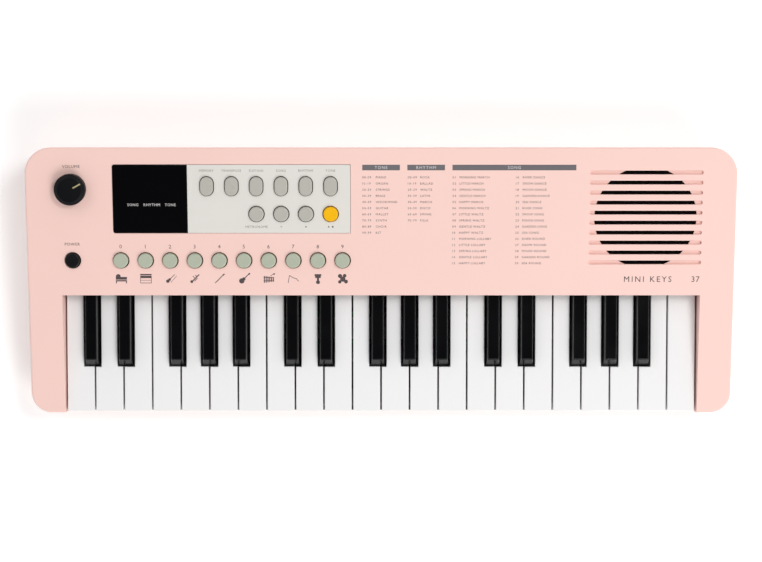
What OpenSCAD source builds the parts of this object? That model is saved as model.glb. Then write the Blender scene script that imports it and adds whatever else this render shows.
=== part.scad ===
// Small electronic keyboard with 37 mini keys, a sloping control panel and a
// round loudspeaker. The origin is on the table, under the middle of the case.
// X runs along the keys, Y runs from the player to the back, Z is up.

/* [Case] */
// Width of the case
body_w = 510; // [440:1:612]
// Depth of the case
body_d = 193; // [165:1:232]
// Height of the top surface above the table at the front edge
front_h = 32; // [30:0.5:39]
// Slope of the top surface, in degrees
slope = 6.8; // [5.5:0.1:8.2]
// Wall thickness of the case
wall = 2.2; // [1.8:0.1:2.7]
// Thickness of the sloping top
top_t = 2.5; // [2.1:0.1:3]
// Height of the seam between the two shells
seam_z = 18; // [16:0.5:20]
// Corner radius at the back
rear_r = 19.3; // [15:0.1:24]
// Corner radius at the front
front_r = 14.5; // [12:0.1:18]
// Width of the cheek at each end of the keys
cheek_w = 24.5; // [22:0.5:30]
// Depth of the control area behind the keys
control_d = 106.5; // [105:0.5:112]

/* [Keys] */
// Width of the gap between white keys
key_gap = 1; // [0.7:0.05:1.2]
// Gap between the outer keys and the cheeks
cheek_gap = 1.1; // [0.8:0.1:1.5]
// Depth of the white keys below the front edge of the cheeks
key_drop = 2.5; // [2:0.1:3]
// Height of a white key from its top to the edge of its skirt
key_h = 10; // [9:0.5:11]
// Thickness of a key's top
key_top_t = 2; // [1.6:0.1:2.4]
// Thickness of a key's skirt
key_skirt_t = 1.5; // [1.2:0.1:1.8]
// Height of the black keys above the white keys
black_rise = 7; // [6:0.1:8.4]
// Width of a black key at its foot
black_w = 10.7; // [9:0.1:11.2]
// Width of a black key's top
black_top_w = 7.9; // [6.6:0.1:8.4]
// Gap between a black key and its neighbours
black_gap = 0.85; // [0.6:0.05:0.95]
// Length of the white keys in front of the black ones
white_front_l = 32.7; // [28:0.1:39]
// Slope of a black key's front, as a run along Y
black_nose = 5; // [4:0.1:6]
// Turn of a key from rest to fully pressed, in degrees
key_turn = 2.1; // [1.8:0.05:2.3]

/* [Controls] */
// Diameter of a round button
button_d = 10.9; // [9.1:0.1:13.1]
// Length of an oblong button
oblong_l = 13.6; // [11.4:0.1:16]
// Width of an oblong button
oblong_w = 9.5; // [8:0.1:11.4]
// Distance from one button to the next
button_pitch = 17.73; // [17:0.01:18.6]
// Height of a button above the top surface
button_rise = 2.6; // [2:0.1:3.1]
// Travel of a button
button_travel = 1.2; // [1:0.1:1.3]
// Gap around a button
button_clear = 0.45; // [0.3:0.05:0.6]
// Diameter of the volume knob
knob_d = 22.4; // [19:0.1:26]
// Height of the volume knob above the top surface
knob_rise = 8; // [7:0.1:9.6]
// Width of the display window
window_w = 53.5; // [50:0.5:56]
// Width of the control panel insert
panel_w = 116.7; // [114:0.1:124]
// Depth of the window and the panel insert
panel_d = 49.2; // [48:0.1:52]
// Corner radius at the left of the window
window_r = 1.5; // [1:0.1:2]
// Thickness of the window and the panel insert
panel_t = 1.8; // [1.5:0.1:2.1]

/* [Loudspeaker] */
// Diameter of the loudspeaker's frame
speaker_d = 77; // [66:1:88]
// Depth of the loudspeaker
speaker_h = 27; // [24:0.5:30]
// Diameter of the open part of the grille
grille_d = 73.6; // [62:0.1:82]
// Length of a grille slot
slot_l = 81; // [76:0.5:86]
// Width of a grille slot
slot_w = 2.8; // [2.3:0.1:3.4]
// Distance from one slot to the next
slot_pitch = 7.23; // [6.8:0.01:7.6]

/* [Base] */
// Height of the feet below the case
foot_h = 2.5; // [2:0.1:3]
// Diameter of a foot
foot_d = 14; // [12:0.5:17]
// Diameter of a battery cell
cell_d = 14.2; // [13.8:0.1:14.5]
// Length of a battery cell
cell_l = 50.2; // [49.5:0.1:50.5]

/* [Hidden] */
$fn = 48;
eps = 0.01;
far = 400;
white_n = 22;
octave_n = 7;
white_names = [for (i = [1 : white_n]) str("white_key_", i < 10 ? "0" : "", i)];
black_names = [for (i = [1 : 15]) str("black_key_", i < 10 ? "0" : "", i)];

// Case edges and heights
left_x = -body_w / 2;
right_x = body_w / 2;
front_y = -body_d / 2;
rear_y = body_d / 2;
bay_x = body_w / 2 - cheek_w;
bay_y = rear_y - control_d;
floor_z = foot_h + wall;
fit = 0.2;
lip_t = 1;
lip_h = 1.6;
function top_z(y) = front_h + (y - front_y) * tan(slope);

// Keys: the pitch fills the bay between the cheeks
key_pitch = (2 * (bay_x - cheek_gap) + key_gap) / white_n;
key_x0 = -bay_x + cheek_gap;
key_z = front_h - key_drop;
key_front_y = front_y + 0.8;
notch_y = key_front_y + white_front_l;
pivot_y = bay_y + 22;
pivot_z = key_z - 7.5;
pivot_r = 1.5;
pivot_clear = 0.05;
hook_w = 5;
hook_r = 3.2;
tail_y = pivot_y - 5;
black_front_y = notch_y + black_gap;
black_z = key_z + black_rise;
black_rear_y = bay_y + 8;
black_slot = black_w + 2 * black_gap;
contact_y = bay_y - 26;
// Where each black key sits against the joint between its white neighbours,
// as a share of the pitch, and which white key it follows in the octave.
black_follow = [0, 1, 3, 4, 5];
black_shift = [-0.086, 0.084, -0.112, 0, 0.12];
black_n = 5;
function black_x(j) =
    let (o = floor(j / black_n), k = j % black_n)
    key_x0 - key_gap / 2
        + (o * octave_n + black_follow[k] + 1 + black_shift[k]) * key_pitch;
function white_l(i) = key_x0 + i * key_pitch;
function white_r(i) = white_l(i) + key_pitch - key_gap;
// Number of the black key on the right of white key i, or -1
function black_right(i) =
    let (m = [for (k = [0 : black_n - 1]) if (black_follow[k] == i % octave_n) k])
    i == white_n - 1 || len(m) == 0 ? -1
        : floor(i / octave_n) * black_n + m[0];
function tail_l(i) =
    i > 0 && black_right(i - 1) >= 0 ? black_x(black_right(i - 1)) + black_slot / 2
        : white_l(i);
function tail_r(i) =
    black_right(i) >= 0 ? black_x(black_right(i)) - black_slot / 2 : white_r(i);
function tail_x(i) = (tail_l(i) + tail_r(i)) / 2;
// Right-hand edge of every key tail from left to right, for the chassis ribs
rib_x = [for (i = [0 : white_n - 1])
    each (black_right(i) >= 0
        ? [tail_r(i) + black_gap / 2,
           tail_r(i) + black_gap * 1.5 + black_w]
        : [tail_r(i) + key_gap / 2])];

// Controls, from the left edge and the edge of the key bay
knob_x = left_x + 33;
knob_y = bay_y + 76.8;
power_x = knob_x;
number_y = bay_y + 25.4;
number_x0 = left_x + 67.8;
number_n = 10;
window_x = left_x + 62.8;
panel_x = window_x + window_w;
panel_y = bay_y + 45.2;
mode_n = 6;
option_n = 3;
last_x = panel_x + panel_w - 14.1;
mode_y = panel_y + 33.6;
option_y = panel_y + 13.7;
panel_proud = 0.3;
pocket_t = panel_t - panel_proud;
plate_seat = 0.02;
plate_joint = 0.05;
cap_edge = 0.5;
oblong_edge = 0.4;
power_rise = 2;
power_edge = 0.4;
carrier_w = 5;
flange_t = 1;
flange_rim = 1.4;
flange_top = -top_t - 0.15;
stem_d = 5;
knob_edge = 2.6;
knob_edge_h = 1.8;
knob_gap = 0.7;
knob_wall = 1.6;
knob_turn = 29;
pointer_r = 3.1;
pointer_w = 1.1;
pointer_t = 0.5;
stem_l = 0.5;
dome_top = flange_top - flange_t - stem_l - button_travel - 0.15;
rubber_t = 1;
dome_h = 2;
board_t = 1.6;
board_top = dome_top - dome_h - rubber_t;
board_x0 = left_x + 19;
board_x1 = panel_x + panel_w + 8;
board_y0 = number_y - 7.4;
board_y1 = rear_y - wall - 3.3;
display_w = 37.5;
display_d = 19;
shaft_r = 3;
shaft_clear = 0.08;
pot_r = 8;
standoff_r = 2.6;
standoff_at = [[board_x0 + 16, number_y + 13], [number_x0 + 4.5 * button_pitch, number_y + 13],
    [board_x1 - 5, number_y + 13], [window_x - 6, board_y1 - 4],
    [panel_x + 35, board_y1 - 4], [board_x1 - 5, board_y1 - 4]];

// Loudspeaker
speaker_x = right_x - 65;
speaker_y = bay_y + 56.2;
slot_n = 10;
groove_t = 1.8;
grille_pocket = 0.1;
cloth_t = 0.4;
flange_z = -top_t - cloth_t - fit;
rim_t = 1.6;
magnet_r = 20;
magnet_h = 9;
speaker_ears = 4;

// Base
screw_r = 1.5;
screw_clear = 0.12;
head_r = 2.8;
head_h = 1.8;
sink = 3;
boss_r = 3.4;
boss_z = seam_z - 3;
case_screw_at = [[left_x + 12, front_y + 15], [right_x - 12, front_y + 15],
    [left_x + 12, bay_y + 10], [right_x - 12, bay_y + 10],
    [left_x + 12.5, rear_y - 12.5], [right_x - 12.5, rear_y - 12.5],
    [0, rear_y - 6], [speaker_x - 84, rear_y - 6]];
foot_at = [[left_x + 30, front_y + 14], [0, front_y + 14], [right_x - 30, front_y + 14],
    [left_x + 30, rear_y - 14], [0, rear_y - 26], [right_x - 30, rear_y - 14]];
foot_sink = 0.8;
chassis_z = foot_h + 5;
chassis_t = 1.8;
chassis_x = bay_x - 0.6;
chassis_screw_at = [for (x = [-0.78, -0.26, 0.26, 0.78], y = [notch_y - 7, pivot_y - 13])
    [x * chassis_x, y]];
rail_z = pivot_z - 8.8;
felt_t = 2;
chassis_y = front_y + wall + 0.4;
felt_y0 = chassis_y + 0.6;
felt_y1 = front_y + 16;
black_rail_z = rail_z + 0.7;
black_rail_y0 = black_front_y + 1;
black_rail_y1 = black_front_y + 8;
contact_t = 0.8;
contact_top = chassis_z + chassis_t + board_t;
contact_dome_z = key_z - 14.3;
plunger_z = contact_dome_z + (pivot_y - contact_y) * sin(key_turn) + 0.5;

// Battery compartment
cell_n = 4;
cell_pitch = cell_d + 1;
bat_x = speaker_x - 130;
bat_y = rear_y - 45;
bat_w = cell_l + 8;
bat_l = cell_n * cell_pitch + 1;
cell_z = floor_z + 0.4 + cell_d / 2;
bat_top = cell_z + cell_d / 2 + 0.5;
bat_wall = 1.6;
door_clear = 0.3;
tab_w = 8;
tab_t = 1.4;
tab_reach = 3;
tab_lift = 0.25;
tab_at = [-18, 18];
door_y = bat_y + bat_l / 2;
notch_w = 16;

// Rear sockets
jack_r = 1.8;
jack_l = 14;
nose_r = 3.6;
jack_x = [left_x + 62, left_x + 80];
usb_x = left_x + 100;
usb_w = 9;
usb_h = 3.3;
socket_z = seam_z + 12;
socket_board_z = socket_z - 5.6;

// Moves its children onto the sloping top, with Z along the surface's normal
module on_top(x, y) {
    translate([x, y, top_z(y)]) rotate([slope, 0, 0]) children();
}

// A box given by its lowest and highest corners
module block(lo, hi) {
    translate(lo) cube(hi - lo);
}

// Outline of the case, seen from above, drawn in by inset
module case_outline(inset = 0) {
    w = body_w - 2 * inset;
    d = body_d - 2 * inset;
    rf = front_r - inset;
    rr = rear_r - inset;
    translate([-w / 2 + rf, -d / 2]) square([w - 2 * rf, rf + eps]);
    translate([-w / 2, -d / 2 + rf]) square([w, d - rf - rr]);
    translate([-w / 2 + rr, d / 2 - rr - eps]) square([w - 2 * rr, rr + eps]);
    for (s = [-1, 1]) {
        translate([s * (w / 2 - rf), -d / 2 + rf]) circle(rf);
        translate([s * (w / 2 - rr), d / 2 - rr]) circle(rr);
    }
}

module case_prism(inset, z0, z1) {
    translate([0, 0, z0]) linear_extrude(z1 - z0) case_outline(inset);
}

// Everything above a plane that lies drop below the sloping top
module above_top(drop = 0) {
    on_top(0, 0) translate([-far, -far, -drop]) cube([2 * far, 2 * far, far]);
}

// Plan of an oblong with round ends, long side along Y
module oblong(w, l) {
    square([w, l - w], center = true);
    for (s = [-1, 1]) translate([0, s * (l - w) / 2]) circle(w / 2);
}

module oblong_prism(w, l, z0, z1) {
    translate([0, 0, z0]) linear_extrude(z1 - z0) oblong(w, l);
}

module disc(r, z0, z1) {
    translate([0, 0, z0]) cylinder(r = r, h = z1 - z0);
}

// Places its children at every round button of the control panel
module at_number_buttons() {
    for (i = [0 : number_n - 1]) on_top(number_x0 + i * button_pitch, number_y) children();
}

module at_mode_buttons() {
    for (i = [0 : mode_n - 1]) on_top(last_x - i * button_pitch, mode_y) children();
}

module at_option_buttons() {
    for (i = [1 : option_n]) on_top(last_x - i * button_pitch, option_y) children();
}

module at_start_button() {
    on_top(last_x, option_y) children();
}

module at_jacks() {
    for (x = jack_x) translate([x, rear_y, socket_z]) rotate([-90, 0, 0]) children();
}

// ---- Case ----

module grille_slot(z0, z1) {
    for (i = [0 : slot_n - 1])
        translate([0, (i - (slot_n - 1) / 2) * slot_pitch, 0])
            rotate([0, 0, 90]) oblong_prism(slot_w, slot_l, z0, z1);
}

module button_holes(z0, z1) {
    hole_r = button_d / 2 + button_clear;
    at_option_buttons() disc(hole_r, z0, z1);
    at_start_button() disc(hole_r, z0, z1);
    at_mode_buttons()
        oblong_prism(oblong_w + 2 * button_clear, oblong_l + 2 * button_clear, z0, z1);
}

module upper_shell() {
    difference() {
        case_prism(0, seam_z, top_z(rear_y) + 5);
        difference() {
            case_prism(wall, seam_z - 1, top_z(rear_y) + 5);
            above_top(top_t);
            block([-bay_x - wall, front_y - 1, 0], [bay_x + wall, bay_y + wall, far]);
        }
    }
}

module upper_case() {
    color("pink") difference() {
        union() {
            upper_shell();
            for (p = case_screw_at)
                translate([p.x, p.y, boss_z]) cylinder(r = boss_r, h = top_z(p.y) - boss_z);
            for (p = standoff_at) on_top(p.x, p.y) disc(standoff_r, board_top, -1);
            for (k = [0 : speaker_ears - 1])
                on_top(speaker_x, speaker_y) rotate([0, 0, 45 + 90 * k])
                    translate([speaker_d / 2 + 3, 0, 0]) disc(standoff_r, flange_z, -1);
        }
        above_top();
        block([-bay_x, front_y - 1, 0], [bay_x, bay_y, far]);
        block([-bay_x, bay_y - 1, 0], [bay_x, bay_y + wall + 1, black_z + 1.3]);
        for (p = case_screw_at)
            translate([p.x, p.y, boss_z - 1]) cylinder(r = screw_r + screw_clear, h = 16);
        for (p = standoff_at) on_top(p.x, p.y) disc(1.25 + screw_clear, board_top - 1, -3);
        for (k = [0 : speaker_ears - 1])
            on_top(speaker_x, speaker_y) rotate([0, 0, 45 + 90 * k])
                translate([speaker_d / 2 + 3, 0, 0]) disc(1.25 + screw_clear, flange_z - 1, -1.6);
        at_number_buttons() disc(button_d / 2 + button_clear, -top_t - 1, 1);
        button_holes(-top_t - 1, 1);
        on_top(power_x, number_y) disc(button_d / 2 + button_clear, -top_t - 1, 1);
        on_top(knob_x, knob_y) disc(shaft_r + 0.6, -top_t - 1, 1);
        on_top(window_x, panel_y) translate([0, 0, -pocket_t])
            linear_extrude(panel_t + 1) plate_plan(window_w + panel_w, fit);
        on_top(window_x + window_w / 2, panel_y + panel_d / 2)
            block([-display_w / 2 - 1, -display_d / 2 - 1, -top_t - 1],
                  [display_w / 2 + 1, display_d / 2 + 1, 1]);
        on_top(speaker_x, speaker_y) {
            grille_slot(-groove_t, 1);
            disc(grille_d / 2, -top_t - 1, -groove_t + grille_pocket);
        }
        at_jacks() disc(nose_r + 0.3, -wall - 1, 1);
        translate([usb_x, rear_y, socket_z])
            block([-usb_w / 2 - 0.6, -wall - 1, -usb_h / 2 - 0.6], [usb_w / 2 + 0.6, 1, usb_h / 2 + 0.6]);
    }
}

module lower_case() {
    color("lightpink") difference() {
        union() {
            difference() {
                case_prism(0, foot_h, seam_z);
                case_prism(wall, floor_z, seam_z + 1);
            }
            difference() {
                case_prism(wall + fit, floor_z - eps, seam_z + lip_h);
                case_prism(wall + fit + lip_t, floor_z - 1, seam_z + lip_h + 1);
                block([-far, -far, -1], [far, far, seam_z - 2]);
                block([-bay_x - wall - fit, -far, 0], [bay_x + wall + fit, 0, far]);
            }
            lip_root();
            for (p = case_screw_at)
                translate([p.x, p.y, foot_h]) cylinder(r = boss_r + 1, h = boss_z - 0.3 - foot_h);
            for (p = chassis_screw_at)
                translate([p.x, p.y, foot_h]) cylinder(r = boss_r + 0.6, h = chassis_z - foot_h);
            for (x = [usb_x + 9, jack_x[0] - 9])
                translate([x, rear_y - 12, foot_h]) cylinder(r = 2.6, h = socket_board_z - foot_h);
            block([bat_x - bat_w / 2 - bat_wall, bat_y - bat_l / 2 - bat_wall, foot_h],
                  [bat_x + bat_w / 2 + bat_wall, door_y + bat_wall, bat_top + bat_wall]);
        }
        block([-bay_x, front_y - 1, rail_z + 0.2], [bay_x, front_y + wall + 2, far]);
        block([bat_x - bat_w / 2, bat_y - bat_l / 2, foot_h - 1], [bat_x + bat_w / 2, door_y, bat_top]);
        for (x = tab_at)
            block([bat_x + x - tab_w / 2 - 0.5, door_y - 1, floor_z],
                  [bat_x + x + tab_w / 2 + 0.5, door_y + bat_wall + 1, floor_z + 4]);
        for (p = case_screw_at) translate([p.x, p.y, 0]) {
            cylinder(r = head_r + 0.4, h = foot_h + sink);
            cylinder(r = screw_r + 0.3, h = seam_z);
            translate([0, 0, boss_z - 0.3]) cylinder(r = boss_r + 0.3, h = far);
        }
        for (p = chassis_screw_at) translate([p.x, p.y, 0]) {
            cylinder(r = head_r + 0.4, h = foot_h + sink - 0.4);
            cylinder(r = screw_r + 0.3, h = seam_z);
        }
        for (p = foot_at) translate([p.x, p.y, 0]) cylinder(r = foot_d / 2 + fit, h = foot_h + foot_sink);
        translate([bat_x, bat_y - bat_l / 2 - 1, foot_h]) scale([1, 0.5, 1]) cylinder(r = notch_w / 2, h = 2.6, center = true);
    }
}

// Joins the locating lip of the lower shell to its wall below the seam
module lip_root() {
    difference() {
        case_prism(wall - 0.2, seam_z - 4, seam_z - 1);
        case_prism(wall + fit + lip_t, seam_z - 5, seam_z);
        block([-bay_x - wall - fit, -far, 0], [bay_x + wall + fit, 0, far]);
    }
}

// Plan of a plate of the recess, w wide, with round corners at the left only
module plate_plan(w, grow = 0) {
    r = window_r + grow;
    l = panel_d + 2 * grow;
    translate([-grow, -grow]) {
        translate([r, 0]) square([w + 2 * grow - r, l]);
        translate([0, r]) square([r + eps, l - 2 * r]);
        for (y = [r, l - r]) translate([r, y]) circle(r);
    }
}

module control_panel() {
    color("gainsboro") difference() {
        on_top(panel_x + plate_joint, panel_y) translate([0, 0, plate_seat - pocket_t])
            cube([panel_w - plate_joint, panel_d, panel_t - plate_seat]);
        button_holes(-top_t - 1, 1);
    }
}

module display_window() {
    color("black") on_top(window_x, panel_y) translate([0, 0, plate_seat - pocket_t])
        linear_extrude(panel_t - plate_seat) plate_plan(window_w - plate_joint);
}

// ---- Controls ----

// A round cap with a chamfered edge, its collar and its stem
module round_cap() {
    r = button_d / 2;
    disc(r, flange_top - flange_t, button_rise - cap_edge);
    translate([0, 0, button_rise - cap_edge]) cylinder(r1 = r, r2 = r - cap_edge, h = cap_edge);
    disc(r + flange_rim, flange_top - flange_t, flange_top);
    disc(stem_d / 2, flange_top - flange_t - stem_l, flange_top - flange_t + eps);
}

module oblong_cap() {
    oblong_prism(oblong_w, oblong_l, flange_top - flange_t, button_rise - oblong_edge);
    oblong_prism(oblong_w - 2 * oblong_edge, oblong_l - 2 * oblong_edge,
                 button_rise - oblong_edge, button_rise);
    oblong_prism(oblong_w + 2 * flange_rim, oblong_l + 2 * flange_rim,
                 flange_top - flange_t, flange_top);
    disc(stem_d / 2, flange_top - flange_t - stem_l, flange_top - flange_t + eps);
}

// The strip that carries a row of n caps, running left or right from the first
module carrier(n, dir) {
    block([min(0, dir * (n - 1) * button_pitch), -carrier_w / 2, flange_top - flange_t],
          [max(0, dir * (n - 1) * button_pitch), carrier_w / 2, flange_top]);
}

module number_buttons() {
    color("darkseagreen") {
        at_number_buttons() round_cap();
        on_top(number_x0, number_y) carrier(number_n, 1);
    }
}

module mode_buttons() {
    color("darkgray") {
        at_mode_buttons() oblong_cap();
        on_top(last_x, mode_y) carrier(mode_n, -1);
    }
}

module option_buttons() {
    color("darkgray") {
        at_option_buttons() round_cap();
        on_top(last_x - button_pitch, option_y) carrier(option_n, -1);
    }
}

module start_button() {
    color("orange") at_start_button() round_cap();
}

module power_button() {
    r = button_d / 2;
    color("black") on_top(power_x, number_y) {
        disc(r, flange_top - flange_t, power_rise - power_edge);
        translate([0, 0, power_rise - power_edge])
            cylinder(r1 = r, r2 = r - power_edge, h = power_edge);
        disc(r + flange_rim, flange_top - flange_t, flange_top);
        disc(stem_d / 2, flange_top - flange_t - stem_l, flange_top - flange_t + eps);
    }
}

module volume_knob() {
    r = knob_d / 2;
    hollow_z = knob_rise - knob_edge_h - knob_wall;
    color("black") on_top(knob_x, knob_y) rotate([0, 0, knob_turn]) {
        difference() {
            union() {
                disc(r, knob_gap, knob_rise - knob_edge_h);
                translate([0, 0, knob_rise - knob_edge_h])
                    cylinder(r1 = r, r2 = r - knob_edge, h = knob_edge_h);
            }
            difference() {
                disc(r - knob_wall, 0, hollow_z);
                disc(shaft_r + knob_wall, 0, knob_rise);
            }
            translate([pointer_r, -pointer_w / 2, knob_rise - pointer_t])
                cube([r - 2 - pointer_r, pointer_w, 1]);
        }
        disc(shaft_r, board_top + 1, hollow_z);
    }
}

module main_board() {
    color("seagreen") difference() {
        union() {
            on_top(board_x0, board_y0)
                block([0, 0, board_top - board_t], [board_x1 - board_x0, (board_y1 - board_y0) / cos(slope), board_top]);
        }
        for (p = standoff_at) on_top(p.x, p.y) disc(1.5, board_top - board_t - 1, board_top + 1);
    }
    color("white") on_top(window_x + window_w / 2, panel_y + panel_d / 2)
        block([-display_w / 2, -display_d / 2, board_top - eps], [display_w / 2, display_d / 2, -pocket_t - 0.4]);
    color("silver") on_top(knob_x, knob_y) difference() {
        disc(pot_r, board_top - eps, -top_t - 0.3);
        disc(shaft_r + shaft_clear, board_top - 1, 0);
    }
    color("white") on_top(power_x, number_y) block([-5, -5, board_top - eps], [5, 5, dome_top]);
    color("dimgray") {
        on_top(panel_x + 6, panel_y + 20)
            block([0, 0, board_top - board_t - 2], [20, 14, board_top - board_t + eps]);
        on_top(panel_x + 50, panel_y + 22)
            block([0, 0, board_top - board_t - 1.6], [9, 9, board_top - board_t + eps]);
        on_top(panel_x + 84, panel_y + 4)
            block([0, 0, board_top - board_t - 6], [16, 6, board_top - board_t + eps]);
    }
}

module button_rubber() {
    color("lightgray") difference() {
        union() {
            on_top(number_x0 - 9, number_y - 6)
                block([0, 0, board_top], [(number_n - 1) * button_pitch + 18, 12, board_top + rubber_t]);
            on_top(last_x - (mode_n - 1) * button_pitch - 9, option_y - 7)
                block([0, 0, board_top], [(mode_n - 1) * button_pitch + 16, mode_y - option_y + 16, board_top + rubber_t]);
            at_number_buttons() rubber_dome();
            at_mode_buttons() rubber_dome();
            at_option_buttons() rubber_dome();
            at_start_button() rubber_dome();
        }
        for (p = standoff_at) on_top(p.x, p.y) disc(standoff_r + 0.6, board_top - 1, board_top + 4);
    }
}

module rubber_dome() {
    translate([0, 0, board_top + rubber_t - eps])
        cylinder(r1 = 4.6, r2 = 2.8, h = dome_h + eps);
}

// ---- Loudspeaker ----

module speaker() {
    color("dimgray") on_top(speaker_x, speaker_y) {
        disc(speaker_d / 2, flange_z + fit, flange_z + fit + cloth_t);
        difference() {
            union() {
                disc(speaker_d / 2, flange_z - rim_t, flange_z);
                for (k = [0 : speaker_ears - 1]) rotate([0, 0, 45 + 90 * k])
                    block([speaker_d / 2 - 4, -4, flange_z - rim_t], [speaker_d / 2 + 6.5, 4, flange_z]);
                translate([0, 0, flange_z - speaker_h + magnet_h])
                    cylinder(r1 = magnet_r, r2 = speaker_d / 2 - 3, h = speaker_h - magnet_h - rim_t + eps);
                disc(magnet_r + 2.5, flange_z - speaker_h, flange_z - speaker_h + magnet_h);
            }
            translate([0, 0, flange_z - speaker_h + magnet_h + 1])
                cylinder(r1 = magnet_r - 4, r2 = speaker_d / 2 - 4, h = speaker_h - magnet_h);
            for (k = [0 : speaker_ears - 1]) rotate([0, 0, 45 + 90 * k])
                translate([speaker_d / 2 + 3, 0, 0]) disc(1.5, flange_z - 9, flange_z + 1);
        }
        cone_z = flange_z - speaker_h + magnet_h + 3.5;
        difference() {
            translate([0, 0, cone_z]) cylinder(r1 = 11, r2 = speaker_d / 2 - 6, h = flange_z - 1 - cone_z);
            translate([0, 0, cone_z + 0.6]) cylinder(r1 = 10.6, r2 = speaker_d / 2 - 6.3, h = flange_z - 1 - cone_z);
        }
    }
}

// ---- Rear sockets ----

module rear_sockets() {
    color("black") at_jacks() difference() {
        union() {
            disc(nose_r, -wall - 1, -0.3);
            block([-5.5, -5, -jack_l - wall - 1], [5.5, 4 + eps, -wall - 0.3]);
        }
        disc(jack_r, -jack_l - 0.3, 1);
    }
    color("silver") translate([usb_x, rear_y, socket_z]) difference() {
        block([-usb_w / 2, -wall - 7, -usb_h / 2], [usb_w / 2, -0.3, usb_h / 2]);
        block([-usb_w / 2 + 0.4, -wall - 6, -usb_h / 2 + 0.4], [usb_w / 2 - 0.4, 1, usb_h / 2 - 0.4]);
    }
    color("black") block([usb_x - 3.2, rear_y - wall - 6, socket_z - 0.35], [usb_x + 3.2, rear_y - 1.4, socket_z + 0.35]);
    color("seagreen") block([jack_x[0] - 13, rear_y - wall - 18, socket_board_z],
                            [usb_x + 13, rear_y - wall - 0.4, socket_board_z + board_t]);
    color("black") block([usb_x - 4, rear_y - wall - 6.5, socket_board_z + board_t - eps],
                         [usb_x + 4, rear_y - wall - 1, socket_z - usb_h / 2 + eps]);
}

// ---- Keys ----

// Hook on a key's tail that snaps over the chassis bar
module key_hook(x) {
    translate([x, pivot_y, pivot_z]) rotate([0, 90, 0])
        translate([0, 0, -hook_w / 2]) cylinder(r = hook_r, h = hook_w);
    block([x - hook_w / 2, tail_y - key_skirt_t, pivot_z - 0.5], [x + hook_w / 2, pivot_y, pivot_z + hook_r]);
}

module hook_bore(x) {
    translate([x, pivot_y, pivot_z]) rotate([0, 90, 0])
        translate([0, 0, -hook_w]) cylinder(r = pivot_r + pivot_clear, h = 2 * hook_w);
    block([x - hook_w, pivot_y - 1.1, pivot_z - 6], [x + hook_w, pivot_y + 1.1, pivot_z]);
}

module white_key(i) {
    t = key_skirt_t;
    z0 = key_z - key_h;
    x = tail_x(i);
    color("white") difference() {
        union() {
            difference() {
                union() {
                    block([white_l(i), key_front_y, z0], [white_r(i), notch_y, key_z]);
                    block([tail_l(i), notch_y - eps, z0], [tail_r(i), tail_y, key_z]);
                }
                block([white_l(i) + t, key_front_y + t, z0 - 1], [white_r(i) - t, notch_y - t, key_z - key_top_t]);
                block([tail_l(i) + t, notch_y - 2 * t, z0 - 1], [tail_r(i) - t, tail_y - t, key_z - key_top_t]);
            }
            block([x - 2, contact_y - 2, plunger_z], [x + 2, contact_y + 2, key_z - 1]);
            key_hook(x);
        }
        hook_bore(x);
    }
}

// Section of a black key across its length, from its foot to its top
module black_section(foot, top, z0, z1) {
    polygon([[-foot / 2, key_z - key_h], [foot / 2, key_z - key_h], [foot / 2, z0],
             [top / 2, z1], [-top / 2, z1], [-foot / 2, z0]]);
}

module black_key(j) {
    x = black_x(j);
    t = key_skirt_t;
    nose = atan((black_rise + 1) / black_nose);
    color("black") difference() {
        union() {
            difference() {
                translate([x, black_rear_y, 0]) rotate([90, 0, 0])
                    linear_extrude(black_rear_y - black_front_y)
                        black_section(black_w, black_top_w, key_z - 1, black_z);
                translate([x, black_rear_y - t, 0]) rotate([90, 0, 0])
                    linear_extrude(black_rear_y - black_front_y - black_nose - 2 * t)
                        translate([0, -1]) black_section(black_w - 2 * t, black_top_w - 2 * t,
                                      key_z - 1, black_z - key_top_t + 1);
                translate([x, black_front_y, key_z - 1]) rotate([nose, 0, 0])
                    translate([-far / 2, -2 * black_rise, 0]) cube([far, 4 * black_rise, far]);
            }
            block([x - black_w / 2, black_rear_y - eps, key_z - key_h], [x + black_w / 2, tail_y, key_z - 3]);
            block([x - 2, contact_y - 2, plunger_z], [x + 2, contact_y + 2, black_z - 1]);
            key_hook(x);
        }
        hook_bore(x);
    }
}

module key_chassis() {
    plate_z = chassis_z + chassis_t;
    color("dimgray") difference() {
        union() {
            block([-chassis_x, chassis_y, chassis_z], [chassis_x, pivot_y + 6, plate_z]);
            block([-chassis_x, chassis_y, chassis_z], [chassis_x, felt_y1, rail_z]);
            block([-chassis_x, chassis_y - 0.3, rail_z - 1], [chassis_x, felt_y0 - 0.1, rail_z + 1.4]);
            block([-chassis_x, front_y, rail_z + 0.3], [chassis_x, chassis_y, rail_z + 1.4]);
            block([-chassis_x, black_rail_y0, chassis_z], [chassis_x, black_rail_y1, black_rail_z]);
            translate([-chassis_x, pivot_y, pivot_z]) rotate([0, 90, 0])
                cylinder(r = pivot_r, h = 2 * chassis_x);
            for (x = concat([-chassis_x + 1], [for (k = [0 : len(rib_x) - 2]) rib_x[k]], [chassis_x - 1]))
                block([x - 1, pivot_y - 3.5, chassis_z], [x + 1, pivot_y + 3.5, pivot_z + pivot_r]);
            for (i = [0 : white_n - 1]) {
                x = (white_l(i) + white_r(i)) / 2;
                block([x - 1.5, felt_y1 + 1, chassis_z], [x + 1.5, felt_y1 + 8, pivot_z]);
            }
        }
        for (p = chassis_screw_at)
            translate([p.x, p.y, chassis_z - 1]) cylinder(r = screw_r + screw_clear, h = 8);
    }
}

module key_felts() {
    color("gray") {
        block([-chassis_x + 1, felt_y0, rail_z], [chassis_x - 1, felt_y1 - 0.5, rail_z + felt_t]);
        block([-chassis_x + 1, black_rail_y0 + 0.5, black_rail_z],
              [chassis_x - 1, black_rail_y1 - 0.5, black_rail_z + felt_t]);
    }
}

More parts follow.
